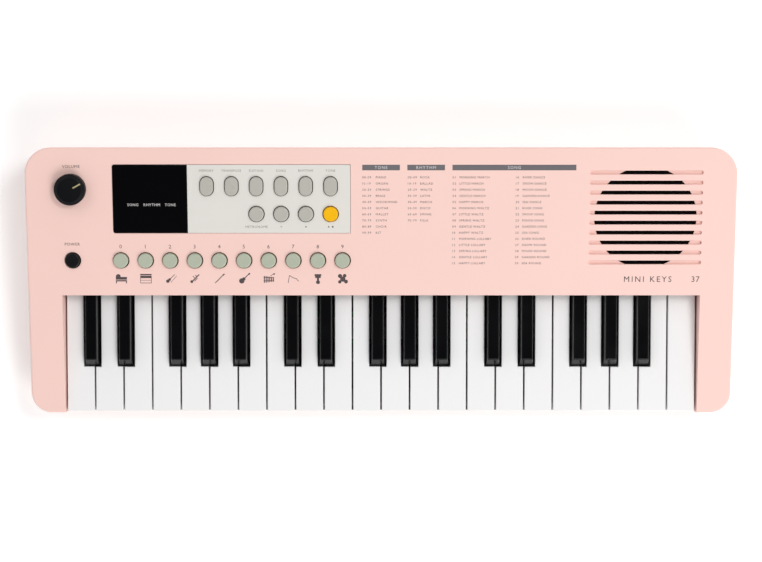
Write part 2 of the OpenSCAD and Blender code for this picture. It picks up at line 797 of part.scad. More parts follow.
module key_contact_board() {
    color("seagreen") block([-chassis_x + 4, contact_y - 12, chassis_z + chassis_t],
                            [chassis_x - 4, contact_y + 12, contact_top]);
}

module key_contact_rubber() {
    color("lightgray") {
        block([-chassis_x + 5, contact_y - 8, contact_top], [chassis_x - 5, contact_y + 8, contact_top + contact_t]);
        for (x = concat([for (i = [0 : white_n - 1]) tail_x(i)], [for (j = [0 : len(black_names) - 1]) black_x(j)]))
            translate([x, contact_y, contact_top + contact_t - eps])
                cylinder(r1 = 4, r2 = 2.6, h = contact_dome_z - contact_top - contact_t + eps);
    }
}

// ---- Base ----

module rubber_feet() {
    color("dimgray") for (p = foot_at) translate([p.x, p.y, 0]) cylinder(r = foot_d / 2, h = foot_h + foot_sink);
}

// A pan-head screw standing on its head, with a cross recess
module screw(r, head, l) {
    difference() {
        union() {
            cylinder(r = head, h = head_h);
            cylinder(r = r, h = l);
        }
        for (a = [0, 90]) rotate([0, 0, a]) translate([-head * 0.6, -0.35, -1]) cube([head * 1.2, 0.7, 1.9]);
    }
}

module case_screws() {
    color("silver") {
        for (p = case_screw_at)
            translate([p.x, p.y, foot_h + sink - head_h]) screw(screw_r, head_r, 20);
        for (p = chassis_screw_at)
            translate([p.x, p.y, foot_h + sink - 0.4 - head_h]) screw(screw_r, head_r, 6.4);
        for (p = standoff_at)
            on_top(p.x, p.y) translate([0, 0, board_top - board_t - head_h]) screw(1.25, 2.4, 7);
        for (k = [0 : speaker_ears - 1])
            on_top(speaker_x, speaker_y) rotate([0, 0, 45 + 90 * k])
                translate([speaker_d / 2 + 3, 0, flange_z - rim_t - head_h]) screw(1.25, 2.4, 4.4);
    }
}

function cell_y(k) = bat_y + (k - (cell_n - 1) / 2) * cell_pitch;
function cell_side(k) = k % 2 == 0 ? 1 : -1;

module battery_cells() {
    color("goldenrod") for (k = [0 : cell_n - 1])
        translate([bat_x, cell_y(k), cell_z]) rotate([0, cell_side(k) * 90, 0]) {
            translate([0, 0, -cell_l / 2]) cylinder(r = cell_d / 2, h = cell_l - 1);
            translate([0, 0, cell_l / 2 - 1 - eps]) cylinder(r = 2.75, h = 1 + eps);
        }
}

// Coil spring from z = 0 to z = h, as rings of a wire swept round a cone
spring_turns = 4;
spring_steps = 12;
wire_r = 0.35;
wire_sides = 6;
function spring_point(t, r0, r1, h) =
    let (r = r0 + (r1 - r0) * t, a = 360 * spring_turns * t)
    [r * cos(a), r * sin(a), wire_r + (h - 2 * wire_r) * t];
module spring(r0, r1, h) {
    n = spring_turns * spring_steps;
    rings = [for (k = [0 : n]) let (
        t = k / n,
        a = 360 * spring_turns * t,
        c = spring_point(t, r0, r1, h))
        [for (s = [0 : wire_sides - 1]) let (b = 360 * s / wire_sides)
            c + wire_r * [cos(b) * cos(a), cos(b) * sin(a), sin(b)]]];
    points = [for (ring = rings) each ring];
    last = n * wire_sides;
    polyhedron(points, concat(
        [[for (s = [wire_sides - 1 : -1 : 0]) s]],
        [for (k = [0 : n - 1], s = [0 : wire_sides - 1])
            let (a = k * wire_sides + s, b = k * wire_sides + (s + 1) % wire_sides)
            each [[a, b, a + wire_sides], [b, b + wire_sides, a + wire_sides]]],
        [[for (s = [0 : wire_sides - 1]) last + s]]));
}

module battery_contacts() {
    gap = (bat_w - cell_l) / 2;
    color("silver") for (k = [0 : cell_n - 1]) {
        s = cell_side(k);
        for (e = [-1, 1]) translate([bat_x + e * (bat_w / 2 - 0.3), cell_y(k), cell_z])
            cube([0.5, cell_d - 3, cell_d - 4], center = true);
        translate([bat_x - s * (bat_w / 2 - 0.6), cell_y(k), cell_z]) rotate([0, s * 90, 0])
            spring(4.6, 2.6, gap - 0.7);
    }
}

module battery_door() {
    c = door_clear;
    color("lightpink") {
        block([bat_x - bat_w / 2 + c, bat_y - bat_l / 2 + c, foot_h], [bat_x + bat_w / 2 - c, door_y - c, floor_z]);
        for (x = tab_at) {
            block([bat_x + x - tab_w / 2, door_y - 3, floor_z - eps],
                  [bat_x + x + tab_w / 2, door_y - c, floor_z + tab_lift + tab_t]);
            block([bat_x + x - tab_w / 2, door_y - 3, floor_z + tab_lift],
                  [bat_x + x + tab_w / 2, door_y + tab_reach, floor_z + tab_lift + tab_t]);
        }
    }
}

upper_case();
lower_case();
control_panel();
display_window();
main_board();
button_rubber();
number_buttons();
mode_buttons();
option_buttons();
start_button();
power_button();
volume_knob();
speaker();
rear_sockets();
key_chassis();
key_felts();
key_contact_board();
key_contact_rubber();
battery_cells();
battery_contacts();
battery_door();
rubber_feet();
case_screws();
for (i = [0 : white_n - 1])
    white_key(i);
for (j = [0 : len(black_names) - 1])
    black_key(j);
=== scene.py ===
# %% [markdown]
# # A toy keyboard with mini keys
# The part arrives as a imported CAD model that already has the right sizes, bodies and
# joints. This lesson builds its looks around that frame: moulded shells with softened
# edges, keys, caps, a knob, a cloth-backed loudspeaker and thin printed legends. Every
# piece is placed from the frame, so nothing has to be fitted by eye.

# %% Load the frame
import math
import bmesh
import bpy
from mathutils import Matrix, Vector


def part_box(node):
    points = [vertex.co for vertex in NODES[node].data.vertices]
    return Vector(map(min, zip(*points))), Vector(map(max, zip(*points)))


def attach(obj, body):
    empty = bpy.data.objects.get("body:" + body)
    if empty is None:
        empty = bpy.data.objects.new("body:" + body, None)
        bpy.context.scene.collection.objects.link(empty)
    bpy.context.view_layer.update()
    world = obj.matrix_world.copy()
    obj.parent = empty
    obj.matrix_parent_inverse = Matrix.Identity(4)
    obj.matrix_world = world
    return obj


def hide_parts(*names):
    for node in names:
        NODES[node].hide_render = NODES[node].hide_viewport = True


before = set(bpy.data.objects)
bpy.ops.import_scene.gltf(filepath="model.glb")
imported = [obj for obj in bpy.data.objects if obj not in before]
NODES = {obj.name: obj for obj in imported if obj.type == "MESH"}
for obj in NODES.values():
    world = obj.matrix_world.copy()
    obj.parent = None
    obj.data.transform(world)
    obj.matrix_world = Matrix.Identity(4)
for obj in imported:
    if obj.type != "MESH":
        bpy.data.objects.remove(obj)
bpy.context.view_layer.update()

# %% [markdown]
# ## Sizes that everything else follows
# The top of the case is one sloping plane. Legends, caps and the knob all sit on it, so
# the lesson first sets that plane, taking its height at the back from the boxes of the CAD
# nodes and its slope as a given angle, and writes one function that puts a thing on it.

# %% The sloping top
MM = 0.001
SLOPE = math.radians(6.8)
case_low, case_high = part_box("upper_case")
REAR_Y = case_high[1]
FRONT_Y = case_low[1]
REAR_Z = case_high[2]
key_low, key_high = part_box("white_key_01")
KEY_Z = key_high[2]
window_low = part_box("display_window")[0]


def top_z(y):
    """Height of the case's top at that depth."""
    return REAR_Z - (REAR_Y - y) * math.tan(SLOPE)


def on_top(x, y, lift=0.0):
    """The place on the sloping top above (x, y), lifted along the surface's normal."""
    turn = Matrix.Rotation(SLOPE, 4, "X")
    return Matrix.Translation((x, y, top_z(y))) @ turn @ Matrix.Translation((0, 0, lift))


print("top at the front %.1f mm, at the back %.1f mm" % (top_z(FRONT_Y) / MM, REAR_Z / MM))

# %% [markdown]
# ## Working habits
# Operators act on whatever is selected. These helpers select one object, or only some
# of its edges or faces, before each step, and hand a finished piece to the frame.

# %% Selecting, joining and handing over
def only(obj):
    """Leave edit mode and select this one object."""
    active = bpy.context.view_layer.objects.active
    if active and active.mode != "OBJECT":
        bpy.ops.object.mode_set(mode="OBJECT")
    bpy.ops.object.select_all(action="DESELECT")
    obj.select_set(True)
    bpy.context.view_layer.objects.active = obj


def edit(obj, kind="FACE", test=None):
    """Open obj in edit mode with the edges or faces selected for which test is true."""
    only(obj)
    bpy.ops.object.mode_set(mode="EDIT")
    bpy.ops.mesh.select_mode(type=kind)
    bpy.ops.mesh.select_all(action="DESELECT" if test else "SELECT")
    if test:
        mesh = bmesh.from_edit_mesh(obj.data)
        mesh.normal_update()
        items = mesh.faces if kind == "FACE" else mesh.edges
        for item in items:
            if test(item):
                item.select_set(True)
        bmesh.update_edit_mesh(obj.data)


def done():
    bpy.ops.object.mode_set(mode="OBJECT")


def placed(obj, matrix):
    """Put obj at that place and keep the place in its mesh."""
    obj.matrix_world = matrix @ obj.matrix_world
    only(obj)
    bpy.ops.object.transform_apply(location=True, rotation=True, scale=True)
    return obj


def joined(parts, name):
    """One object from several."""
    only(parts[0])
    for part in parts:
        part.select_set(True)
    if len(parts) > 1:
        bpy.ops.object.join()
    obj = bpy.context.view_layer.objects.active
    obj.name = name
    obj.data.name = name
    return obj


def copy_of(obj, place):
    """A copy with its own mesh, put at that place."""
    twin = obj.copy()
    twin.data = obj.data.copy()
    bpy.context.scene.collection.objects.link(twin)
    return placed(twin, place)


def open_edges(obj):
    """How many edges don't have exactly two faces."""
    mesh = bmesh.new()
    mesh.from_mesh(obj.data)
    count = sum(1 for e in mesh.edges if len(e.link_faces) != 2)
    mesh.free()
    return count


def smooth(obj, degrees=32):
    """Smooth shading that leaves the large flat faces flat."""
    only(obj)
    bpy.ops.object.shade_smooth_by_angle(angle=math.radians(degrees))
    bpy.ops.object.modifier_add(type="WEIGHTED_NORMAL")
    weighted = obj.modifiers[-1]
    weighted.keep_sharp = True
    weighted.weight = 100
    bpy.ops.object.modifier_apply(modifier=weighted.name)
    return obj


def hand_over(obj, body, material, replaces=()):
    """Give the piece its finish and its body."""
    obj.data.materials.clear()
    obj.data.materials.append(material)
    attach(obj, body)
    if replaces:
        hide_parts(*replaces)
    print("piece", obj.name, "on", body, "faces", len(obj.data.polygons), "open", open_edges(obj))
    return obj


MERGE = 0.001 * MM
FLAT_ANGLE = math.radians(0.4)


def moulding(node, name, flats=None):
    """A clean copy of a CAD node, with its flats made whole, ready for its edges to be rounded."""
    obj = bpy.data.objects.new(name, NODES[node].data.copy())
    bpy.context.scene.collection.objects.link(obj)
    edit(obj)
    bpy.ops.mesh.remove_doubles(threshold=MERGE)
    done()
    edit(obj, "FACE", flats)
    bpy.ops.mesh.dissolve_limited(angle_limit=FLAT_ANGLE)
    done()
    return obj


def rounded(obj, width, segments, test):
    """Round the edges for which test is true."""
    edit(obj, "EDGE", test)
    bpy.ops.mesh.bevel(offset=width, offset_type="OFFSET", segments=segments, affect="EDGES",
                       clamp_overlap=False, loop_slide=False)
    done()
    return obj


def is_sharp(edge, degrees=20):
    return len(edge.link_faces) == 2 and edge.calc_face_angle(0) > math.radians(degrees)


# %% [markdown]
# ## Camera, floor and light
# A keyboard is best seen from nearly straight above. The camera leans three degrees
# from the vertical towards the back of the case. A large soft light on the right gives
# the caps and keys their small shadows. Two wider lamps, one in front and one behind,
# soften them, and a pale world with a dark card overhead fills in the rest.

# %% Camera
LEAN = math.radians(3.0)
DISTANCE = 1.32
AIM_Z = 0.035
bpy.ops.object.camera_add(
    location=(0, DISTANCE * math.sin(LEAN), AIM_Z + DISTANCE * math.cos(LEAN)), rotation=(-LEAN, 0, 0))
camera = bpy.context.object
camera.name = "camera"
camera.data.sensor_width = 36
camera.data.lens = 85.84
camera.data.clip_start = 0.01
bpy.context.scene.camera = camera
bpy.context.scene.view_settings.view_transform = "Standard"

# %% Floor and lights
bpy.ops.mesh.primitive_plane_add(size=6, location=(0, 0, 0))
floor = bpy.context.object
floor.name = "floor"


def soft_light(name, place, size, power, aim=(0, 0, 0.03)):
    bpy.ops.object.light_add(type="AREA", location=place)
    lamp = bpy.context.object
    lamp.name = name
    lamp.data.shape = "DISK"
    lamp.data.size = size
    lamp.data.energy = power
    lamp.rotation_euler = (Vector(aim) - Vector(place)).to_track_quat("-Z", "Y").to_euler()
    return lamp


soft_light("key_light", (1.2, 0.8, 2.4), 0.9, 23)
soft_light("front_light", (0.9, -1.7, 1.9), 1.6, 28)
soft_light("back_light", (-1.5, 1.6, 1.9), 1.6, 6)


def studio_world(strength=0.63, overhead=0.05, edge=0.80, blend=0.10):
    """Bright walls all round and a dark card overhead, so that black gloss stays black."""
    world = bpy.data.worlds.new("studio")
    bpy.context.scene.world = world
    world.use_nodes = True
    tree = world.node_tree
    place = tree.nodes.new("ShaderNodeTexCoord")
    split = tree.nodes.new("ShaderNodeSeparateXYZ")
    card = tree.nodes.new("ShaderNodeMapRange")
    card.interpolation_type = "SMOOTHSTEP"
    card.inputs["From Min"].default_value = edge
    card.inputs["From Max"].default_value = edge + blend
    card.inputs["To Min"].default_value = strength
    card.inputs["To Max"].default_value = overhead
    tree.links.new(place.outputs["Generated"], split.inputs["Vector"])
    tree.links.new(split.outputs["Z"], card.inputs["Value"])
    tree.links.new(card.outputs["Result"], tree.nodes["Background"].inputs["Strength"])
    tree.nodes["Background"].inputs["Color"].default_value = (1, 1, 1, 1)


studio_world()

# %% [markdown]
# ## Finishes
# A moulded plastic is never one flat colour. It has a fine spark-eroded grain, a faint
# drift of tone from the melt, and a roughness that changes a little where hands polish
# it. One function builds that from noise, and each finish gives it its own values.

# %% Moulded plastic
def colour(red, green, blue):
    """A colour from everyday 0 to 255 values, as the shader wants it."""
    def linear(value):
        share = value / 255
        return share / 12.92 if share <= 0.04045 else ((share + 0.055) / 1.055) ** 2.4
    return (linear(red), linear(green), linear(blue), 1)


class Nodes:
    """A short way to add and link shader nodes."""

    def __init__(self, name):
        self.material = bpy.data.materials.new(name)
        self.material.use_nodes = True
        self.tree = self.material.node_tree
        self.shader = self.tree.nodes["Principled BSDF"]
        self.place = self.add("ShaderNodeTexCoord").outputs["Object"]

    def add(self, kind, **values):
        node = self.tree.nodes.new(kind)
        for key, value in values.items():
            setattr(node, key, value)
        return node

    def link(self, source, target):
        self.tree.links.new(source, target)

    def noise(self, scale, detail=2.0, stretch=None):
        """Noise in object space; scale is in bumps per metre."""
        node = self.add("ShaderNodeTexNoise")
        node.inputs["Scale"].default_value = scale
        node.inputs["Detail"].default_value = detail
        place = self.place
        if stretch:
            mapping = self.add("ShaderNodeMapping")
            mapping.inputs["Scale"].default_value = stretch
            self.link(place, mapping.inputs["Vector"])
            place = mapping.outputs["Vector"]
        self.link(place, node.inputs["Vector"])
        return node.outputs["Fac"]

    def ramp(self, source, low, high, start=0.3, end=0.7):
        """Two colours, or two greys, blended by source."""
        node = self.add("ShaderNodeValToRGB")
        first, last = node.color_ramp.elements
        first.position, last.position = start, end
        first.color = low if isinstance(low, tuple) else (low, low, low, 1)
        last.color = high if isinstance(high, tuple) else (high, high, high, 1)
        self.link(source, node.inputs["Fac"])
        return node.outputs["Color"]

    def bump(self, height, distance, strength=1.0):
        node = self.add("ShaderNodeBump")
        node.inputs["Distance"].default_value = distance
        node.inputs["Strength"].default_value = strength
        self.link(height, node.inputs["Height"])
        self.link(node.outputs["Normal"], self.shader.inputs["Normal"])
        return node


def tinted(shade, factor):
    return tuple(min(1.0, channel * factor) for channel in shade[:3]) + (1,)


TONE_SCALE = 14
POLISH_SCALE = 45
POLISH = 0.05
COAT_ROUGH = 0.08


def plastic(name, shade, rough=0.45, drift=0.03, grain=0.02, grain_scale=2600, coat=0.0, metal=0.0,
            gloss=0.5):
    """Drift is the share by which the tone changes, and grain is its depth in millimetres."""
    nodes = Nodes(name)
    inputs = nodes.shader.inputs
    tone = nodes.noise(TONE_SCALE, 3)
    nodes.link(nodes.ramp(tone, tinted(shade, 1 - drift), tinted(shade, 1 + drift)), inputs["Base Color"])
    worn = nodes.noise(POLISH_SCALE, 4)
    nodes.link(nodes.ramp(worn, rough - POLISH, rough + POLISH), inputs["Roughness"])
    nodes.bump(nodes.noise(grain_scale, 2), grain * MM)
    inputs["Coat Weight"].default_value = coat
    inputs["Coat Roughness"].default_value = COAT_ROUGH
    inputs["Metallic"].default_value = metal
    inputs["Specular IOR Level"].default_value = gloss
    return nodes.material


PINK = plastic("pink_shell", colour(247, 209, 200), rough=0.5, drift=0.008, grain=0.015)
PANEL = plastic("pale_panel", colour(226, 223, 217), rough=0.42, drift=0.008, grain=0.012)
GLOSS = plastic("gloss_window", colour(4, 4, 6), rough=0.1, drift=0.05, grain=0.001, grain_scale=300,
                coat=0.2, gloss=0.3)
GREY_CAP = plastic("grey_cap", colour(186, 184, 175), rough=0.3, drift=0.012, grain=0.02)
NUMBER_CAP = plastic("number_cap", colour(181, 187, 168), rough=0.3, drift=0.012, grain=0.02)
YELLOW_CAP = plastic("yellow_cap", colour(247, 186, 2), rough=0.4, drift=0.015, grain=0.02, gloss=0.25)
BLACK_CAP = plastic("black_cap", colour(13, 14, 17), rough=0.34, drift=0.06, grain=0.015, gloss=0.3)
WHITE_KEY = plastic("key_white", colour(246, 245, 245), rough=0.22, drift=0.006, grain=0.002,
                    grain_scale=900, coat=0.25)
BLACK_KEY = plastic("key_black", colour(7, 7, 9), rough=0.2, drift=0.06, grain=0.004,
                    grain_scale=1900, gloss=0.28)
CHASSIS = plastic("chassis_grey", colour(44, 44, 47), rough=0.55, drift=0.05, grain=0.03)
KNOB_BLACK = plastic("knob_black", colour(12, 13, 16), rough=0.42, drift=0.06, grain=0.012, gloss=0.15)
# The carrier's near-black colour is painted shade: it darkens the gap seen round each cap.
CARRIER_PAINTED_SHADE = plastic("cap_carrier_painted_shade", colour(14, 13, 15), rough=0.8, drift=0.05, grain=0.02)
POINTER = plastic("pointer_print", colour(176, 164, 120), rough=0.5, drift=0.03, grain=0.01)
INK = plastic("legend_ink", colour(58, 47, 47), rough=0.6, drift=0.05, grain=0.01)
SIGN_INK = plastic("sign_ink", colour(78, 66, 68), rough=0.6, drift=0.05, grain=0.01)
PALE_INK = plastic("pale_ink", colour(136, 130, 124), rough=0.6, drift=0.03, grain=0.01)
BAR_INK = plastic("bar_ink", colour(104, 100, 103), rough=0.6, drift=0.03, grain=0.01)
WHITE_INK = plastic("white_ink", colour(214, 211, 210), rough=0.6, drift=0.02, grain=0.01)
RUBBER = plastic("foot_rubber", colour(56, 56, 58), rough=0.8, drift=0.06, grain=0.05, grain_scale=1400)
PALE_RUBBER = plastic("pale_rubber", colour(206, 204, 199), rough=0.65, drift=0.03, grain=0.03)
BLACK_PLASTIC = plastic("socket_black", colour(21, 21, 23), rough=0.5, drift=0.05, grain=0.03)
STEEL = plastic("screw_steel", colour(168, 168, 172), rough=0.3, drift=0.05, grain=0.01,
                grain_scale=5000, metal=1.0)
SPRING = plastic("spring_steel", colour(205, 203, 198), rough=0.22, drift=0.04, grain=0.004, metal=1.0)
SOCKET_METAL = plastic("socket_metal", colour(196, 194, 188), rough=0.25, drift=0.04, grain=0.004,
                       metal=1.0)
SLEEVE = plastic("cell_sleeve", colour(38, 52, 66), rough=0.28, drift=0.05, grain=0.004, coat=0.3)
BAND = plastic("cell_band", colour(186, 116, 62), rough=0.3, drift=0.05, grain=0.004, metal=0.8)
DISPLAY = plastic("display_body", colour(214, 213, 208), rough=0.5, drift=0.03, grain=0.02)
CHIP = plastic("chip_black", colour(28, 28, 30), rough=0.6, drift=0.08, grain=0.03)
FLOOR = plastic("floor_paper", colour(254, 254, 254), rough=0.9, drift=0.0, grain=0.0)
floor_inputs = FLOOR.node_tree.nodes["Principled BSDF"].inputs
floor_inputs["Emission Color"].default_value = (1, 1, 1, 1)
floor_inputs["Emission Strength"].default_value = 0.19
floor.data.materials.append(FLOOR)
print("plastics:", len(bpy.data.materials))

# %% [markdown]
# ## Shells
# The two halves of the case come straight from the CAD, whose openings are exact. An
# injection mould never gives a knife edge, so the outer rim gets a generous radius, and
# the key bay, the openings and the seam between the halves each a hint of one.

# %% Upper shell
NORMAL = Vector((0, -math.sin(SLOPE), math.cos(SLOPE)))
TOUCH = 0.01 * MM
BAY_GAP = 1.1 * MM
BAY_X = abs(key_low[0]) + BAY_GAP
OUTER_RADIUS = 1.6 * MM
HOLE_RADIUS = 0.3 * MM
SEAM_RADIUS = 0.3 * MM
SEAM_Z = 18 * MM
RIM_BAND = 7 * MM
FRONT_BAND = 5 * MM
CHEEK_BAND = 2 * MM
UPRIGHT = 0.01


def lies_on_top(point):
    return abs((point - Vector((0, REAR_Y, REAR_Z))).dot(NORMAL)) < TOUCH


def top_edge(edge):
    return is_sharp(edge, 45) and all(lies_on_top(v.co) for v in edge.verts)


def upright(edge):
    """True if a wall beside the edge stands upright."""
    return any(abs(f.normal.z) < UPRIGHT for f in edge.link_faces)


def on_outline(edge):
    """True near the outer edges of the case."""
    middle = edge.verts[0].co.lerp(edge.verts[1].co, 0.5)
    at_side = abs(middle.x) > case_high[0] - RIM_BAND
    return at_side or middle.y > REAR_Y - RIM_BAND or middle.y < FRONT_Y + FRONT_BAND


def faces_out(face):
    """True on an upright wall that faces away from the middle of the case."""
    middle = face.calc_center_median()
    outwards = face.normal.x * middle.x + 4 * face.normal.y * middle.y
    return abs(face.normal.z) < UPRIGHT and outwards > 0


def seam_edge(edge):
    """True where the outer wall meets the seam between the shells."""
    return (is_sharp(edge, 45) and on_outline(edge) and any(faces_out(f) for f in edge.link_faces)
            and all(abs(v.co.z - SEAM_Z) < TOUCH for v in edge.verts))


def bay_edge(edge):
    """True on the top and front edges of the cheeks beside the keys."""
    on_cheek = all(abs(abs(v.co.x) - BAY_X) < TOUCH and v.co.z > SEAM_Z + MM for v in edge.verts)
    along_top = all(lies_on_top(v.co) for v in edge.verts)
    at_front = all(v.co.y < FRONT_Y + CHEEK_BAND for v in edge.verts)
    return is_sharp(edge, 45) and on_cheek and (along_top or at_front)


upper = moulding("upper_case", "upper_shell")
rounded(upper, OUTER_RADIUS, 5, lambda e: top_edge(e) and upright(e) and on_outline(e))
rounded(upper, HOLE_RADIUS, 3, lambda e: bay_edge(e) or (top_edge(e) and not on_outline(e)))
rounded(upper, SEAM_RADIUS, 2, seam_edge)
smooth(upper)
hand_over(upper, "case", PINK, ["upper_case"])

# %% Lower shell
base_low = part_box("lower_case")[0]
BASE_RADIUS = 1.2 * MM


def base_rim(edge):
    """True on the rim round the underside, and on the seam with the upper shell."""
    return (is_sharp(edge, 45) and on_outline(edge) and upright(edge)
            and all(abs(v.co.z - base_low[2]) < TOUCH for v in edge.verts))


lower = moulding("lower_case", "lower_shell")
rounded(lower, BASE_RADIUS, 4, base_rim)
rounded(lower, SEAM_RADIUS, 2, seam_edge)
smooth(lower)
hand_over(lower, "case", PINK, ["lower_case"])

# %% [markdown]
# ## White keys
# Each white key is a thin-walled moulding with a soft edge round its playing surface.
# The CAD copy keeps the exact notch beside each black key. Its sides are drawn in a
# little, so that a dark line shows between neighbours. Only the edges round the top and
# the upright edges at the front are rounded, because the rest is out of sight.

# %% White keys
WHITE_RADIUS = 0.55 * MM
NOSE_Y = key_low[1]
DRAFT = 0.12 * MM


def white_edge(edge):
    heights = [v.co.z for v in edge.verts]
    depths = [v.co.y for v in edge.verts]
    at_top = min(heights) > KEY_Z - TOUCH
    at_nose = max(depths) < NOSE_Y + TOUCH
    return is_sharp(edge, 45) and (at_top or (at_nose and heights[0] != heights[1]))


white_names = sorted(n for n in NODES if n.startswith("white_key"))
for node in white_names:
    key = moulding(node, node.replace("key", "note"))
    for side in (-1, 1):
        edit(key, "FACE", lambda f: f.normal.x * side > 0.99)
        bpy.ops.transform.translate(value=(-side * DRAFT, 0, 0))
        done()
    rounded(key, WHITE_RADIUS, 3, white_edge)
    smooth(key)
    hand_over(key, node, WHITE_KEY, [node])

# %% [markdown]
# ## Black keys
# A black key is narrower at its top than at its foot and slopes away at the front. Its
# three upper ridges are well rounded, which is where it catches the light.

# %% Black keys
BLACK_RADIUS = 0.75 * MM
SUNK = 1.2 * MM
black_names = sorted(n for n in NODES if n.startswith("black_key"))


def black_edge(edge):
    """True on the ridges above the playing surface; SUNK is how far down they reach."""
    return is_sharp(edge, 12) and min(v.co.z for v in edge.verts) > KEY_Z - SUNK


for node in black_names:
    key = moulding(node, node.replace("key", "note"), lambda f: f.normal.z > -0.5)
    rounded(key, BLACK_RADIUS, 4, black_edge)
    smooth(key, 40)
    hand_over(key, node, BLACK_KEY, [node])

# %% [markdown]
# ## Button caps
# A round cap starts as a cylinder. Its face is inset and pressed down a little so that a
# finger finds the middle, and its rim is bevelled. Each row of caps sits on a carrier just
# inside the case, with a collar and a stem under each cap and a strip between them. The
# carrier's near-black colour is painted shade, so that the gap round each cap reads dark.

# %% One round cap, one oblong cap
CAP_R = 5.3 * MM
CAP_RISE = 2.6 * MM
COLLAR_TOP = -2.65 * MM
COLLAR_T = 1.0 * MM
COLLAR_RIM = 1.4 * MM
STRIP_W = 5 * MM
STEM_R = 2.5 * MM
STEM_L = 0.5 * MM
OBLONG_W = 9.3 * MM
OBLONG_L = 13.4 * MM
CAP_FOOT = COLLAR_TOP - 0.3 * MM
OVERLAP = 0.1 * MM


def drum(radius, low, high, sides=48, at=(0, 0)):
    bpy.ops.mesh.primitive_cylinder_add(
        vertices=sides, radius=radius, depth=high - low, location=(at[0], at[1], (low + high) / 2))
    obj = bpy.context.object
    only(obj)
    bpy.ops.object.transform_apply(location=True, rotation=True, scale=True)
    return obj


def slab(size, middle):
    """A box of that size round that middle, as a primitive with its place in its mesh."""
    bpy.ops.mesh.primitive_cube_add(size=1, location=middle)
    obj = bpy.context.object
    obj.scale = size
    only(obj)
    bpy.ops.object.transform_apply(location=True, rotation=True, scale=True)
    return obj


def dished(obj, height, radius, dip=0.18 * MM):
    """Round the rim of the face at that height and press its middle down a little."""
    steps = 4
    rounded(obj, radius, 4,
            lambda e: is_sharp(e, 60) and all(abs(v.co.z - height) < TOUCH for v in e.verts))
    edit(obj, "FACE", lambda f: f.normal.z > 0.99 and abs(f.calc_center_median().z - height) < TOUCH)
    for _ in range(steps):
        bpy.ops.mesh.inset(thickness=1.0 * MM)
        bpy.ops.transform.translate(value=(0, 0, -dip / steps))
    done()
    return obj


def round_cap(rise=CAP_RISE, edge=0.9 * MM):
    return smooth(dished(drum(CAP_R, CAP_FOOT, rise), rise, edge))


def stretched(obj, length):
    """Pull the two halves of a round piece apart along Y."""
    for way in (-1, 1):
        edit(obj, "EDGE", lambda e: all(v.co.y * way > 0 for v in e.verts))
        bpy.ops.transform.translate(value=(0, way * length / 2, 0))
    done()
    return obj


# %% Rows of caps
BAY_Y = REAR_Y - 106.5 * MM
NUMBER_Y = BAY_Y + 25.4 * MM
PANEL_Y = BAY_Y + 45.2 * MM
MODE_Y = PANEL_Y + 33.6 * MM
OPTION_Y = PANEL_Y + 13.7 * MM
PITCH = 17.73 * MM
START_X = sum(c[0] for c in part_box("start_button")) / 2
POWER_X = sum(c[0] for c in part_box("power_button")) / 2
NUMBER_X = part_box("number_buttons")[0][0] + CAP_R + COLLAR_RIM
number_xs = [NUMBER_X + i * PITCH for i in range(10)]
mode_xs = [START_X - (5 - i) * PITCH for i in range(6)]
option_xs = [START_X - (3 - i) * PITCH for i in range(3)]


def carrier(xs, y, node, radius, length):
    """The collars and stems under a row of caps, and the strip that ties them together."""
    parts = []
    foot = COLLAR_TOP - COLLAR_T
    for x in xs:
        collar = stretched(drum(radius + COLLAR_RIM, foot, COLLAR_TOP), length)
        stem = drum(STEM_R, foot - STEM_L, foot + OVERLAP, 24)
        parts += [placed(collar, on_top(x, y)), placed(stem, on_top(x, y))]
    if len(xs) > 1:
        span = xs[-1] - xs[0]
        strip = slab((span, STRIP_W, COLLAR_T), (span / 2, 0, COLLAR_TOP - COLLAR_T / 2))
        parts.append(placed(strip, on_top(xs[0], y)))
    # The dark carrier finish paints the shade in the gap round each cap.
    hand_over(smooth(joined(parts, node.replace("button", "carrier"))), node, CARRIER_PAINTED_SHADE)


def row_of(pattern, xs, y, node, material, radius=CAP_R, length=0):
    """Copies of one cap along a row, on their carrier."""
    row = joined([copy_of(pattern, on_top(x, y)) for x in xs], node.replace("button", "cap"))
    hand_over(row, node, material, [node])
    carrier(xs, y, node, radius, length)


cap = round_cap()
row_of(cap, number_xs, NUMBER_Y, "number_buttons", NUMBER_CAP)
row_of(cap, option_xs, OPTION_Y, "option_buttons", GREY_CAP)
row_of(cap, [START_X], OPTION_Y, "start_button", YELLOW_CAP)
bpy.data.objects.remove(cap)

power_cap = round_cap(2.0 * MM)
row_of(power_cap, [POWER_X], NUMBER_Y, "power_button", BLACK_CAP)
bpy.data.objects.remove(power_cap)


def oblong_cap():
    """A smaller round cap with a flat face, its two halves pulled apart."""
    top = drum(OBLONG_W / 2, CAP_FOOT, CAP_RISE)
    rounded(top, 0.7 * MM, 4,
            lambda e: is_sharp(e, 60) and all(v.co.z > CAP_RISE - TOUCH for v in e.verts))
    return smooth(stretched(top, OBLONG_L - OBLONG_W))


oblong = oblong_cap()
row_of(oblong, mode_xs, MODE_Y, "mode_buttons", GREY_CAP, OBLONG_W / 2,
       OBLONG_L - OBLONG_W)
bpy.data.objects.remove(oblong)

# %% [markdown]
# ## Volume knob
# The knob is one section turned about its axis: a hollow skirt, a wide chamfer whose
# inner crease catches the light as a thin ring, a face set a little lower, and a shaft
# that reaches into the control on the circuit board. A pale bar points at the setting.

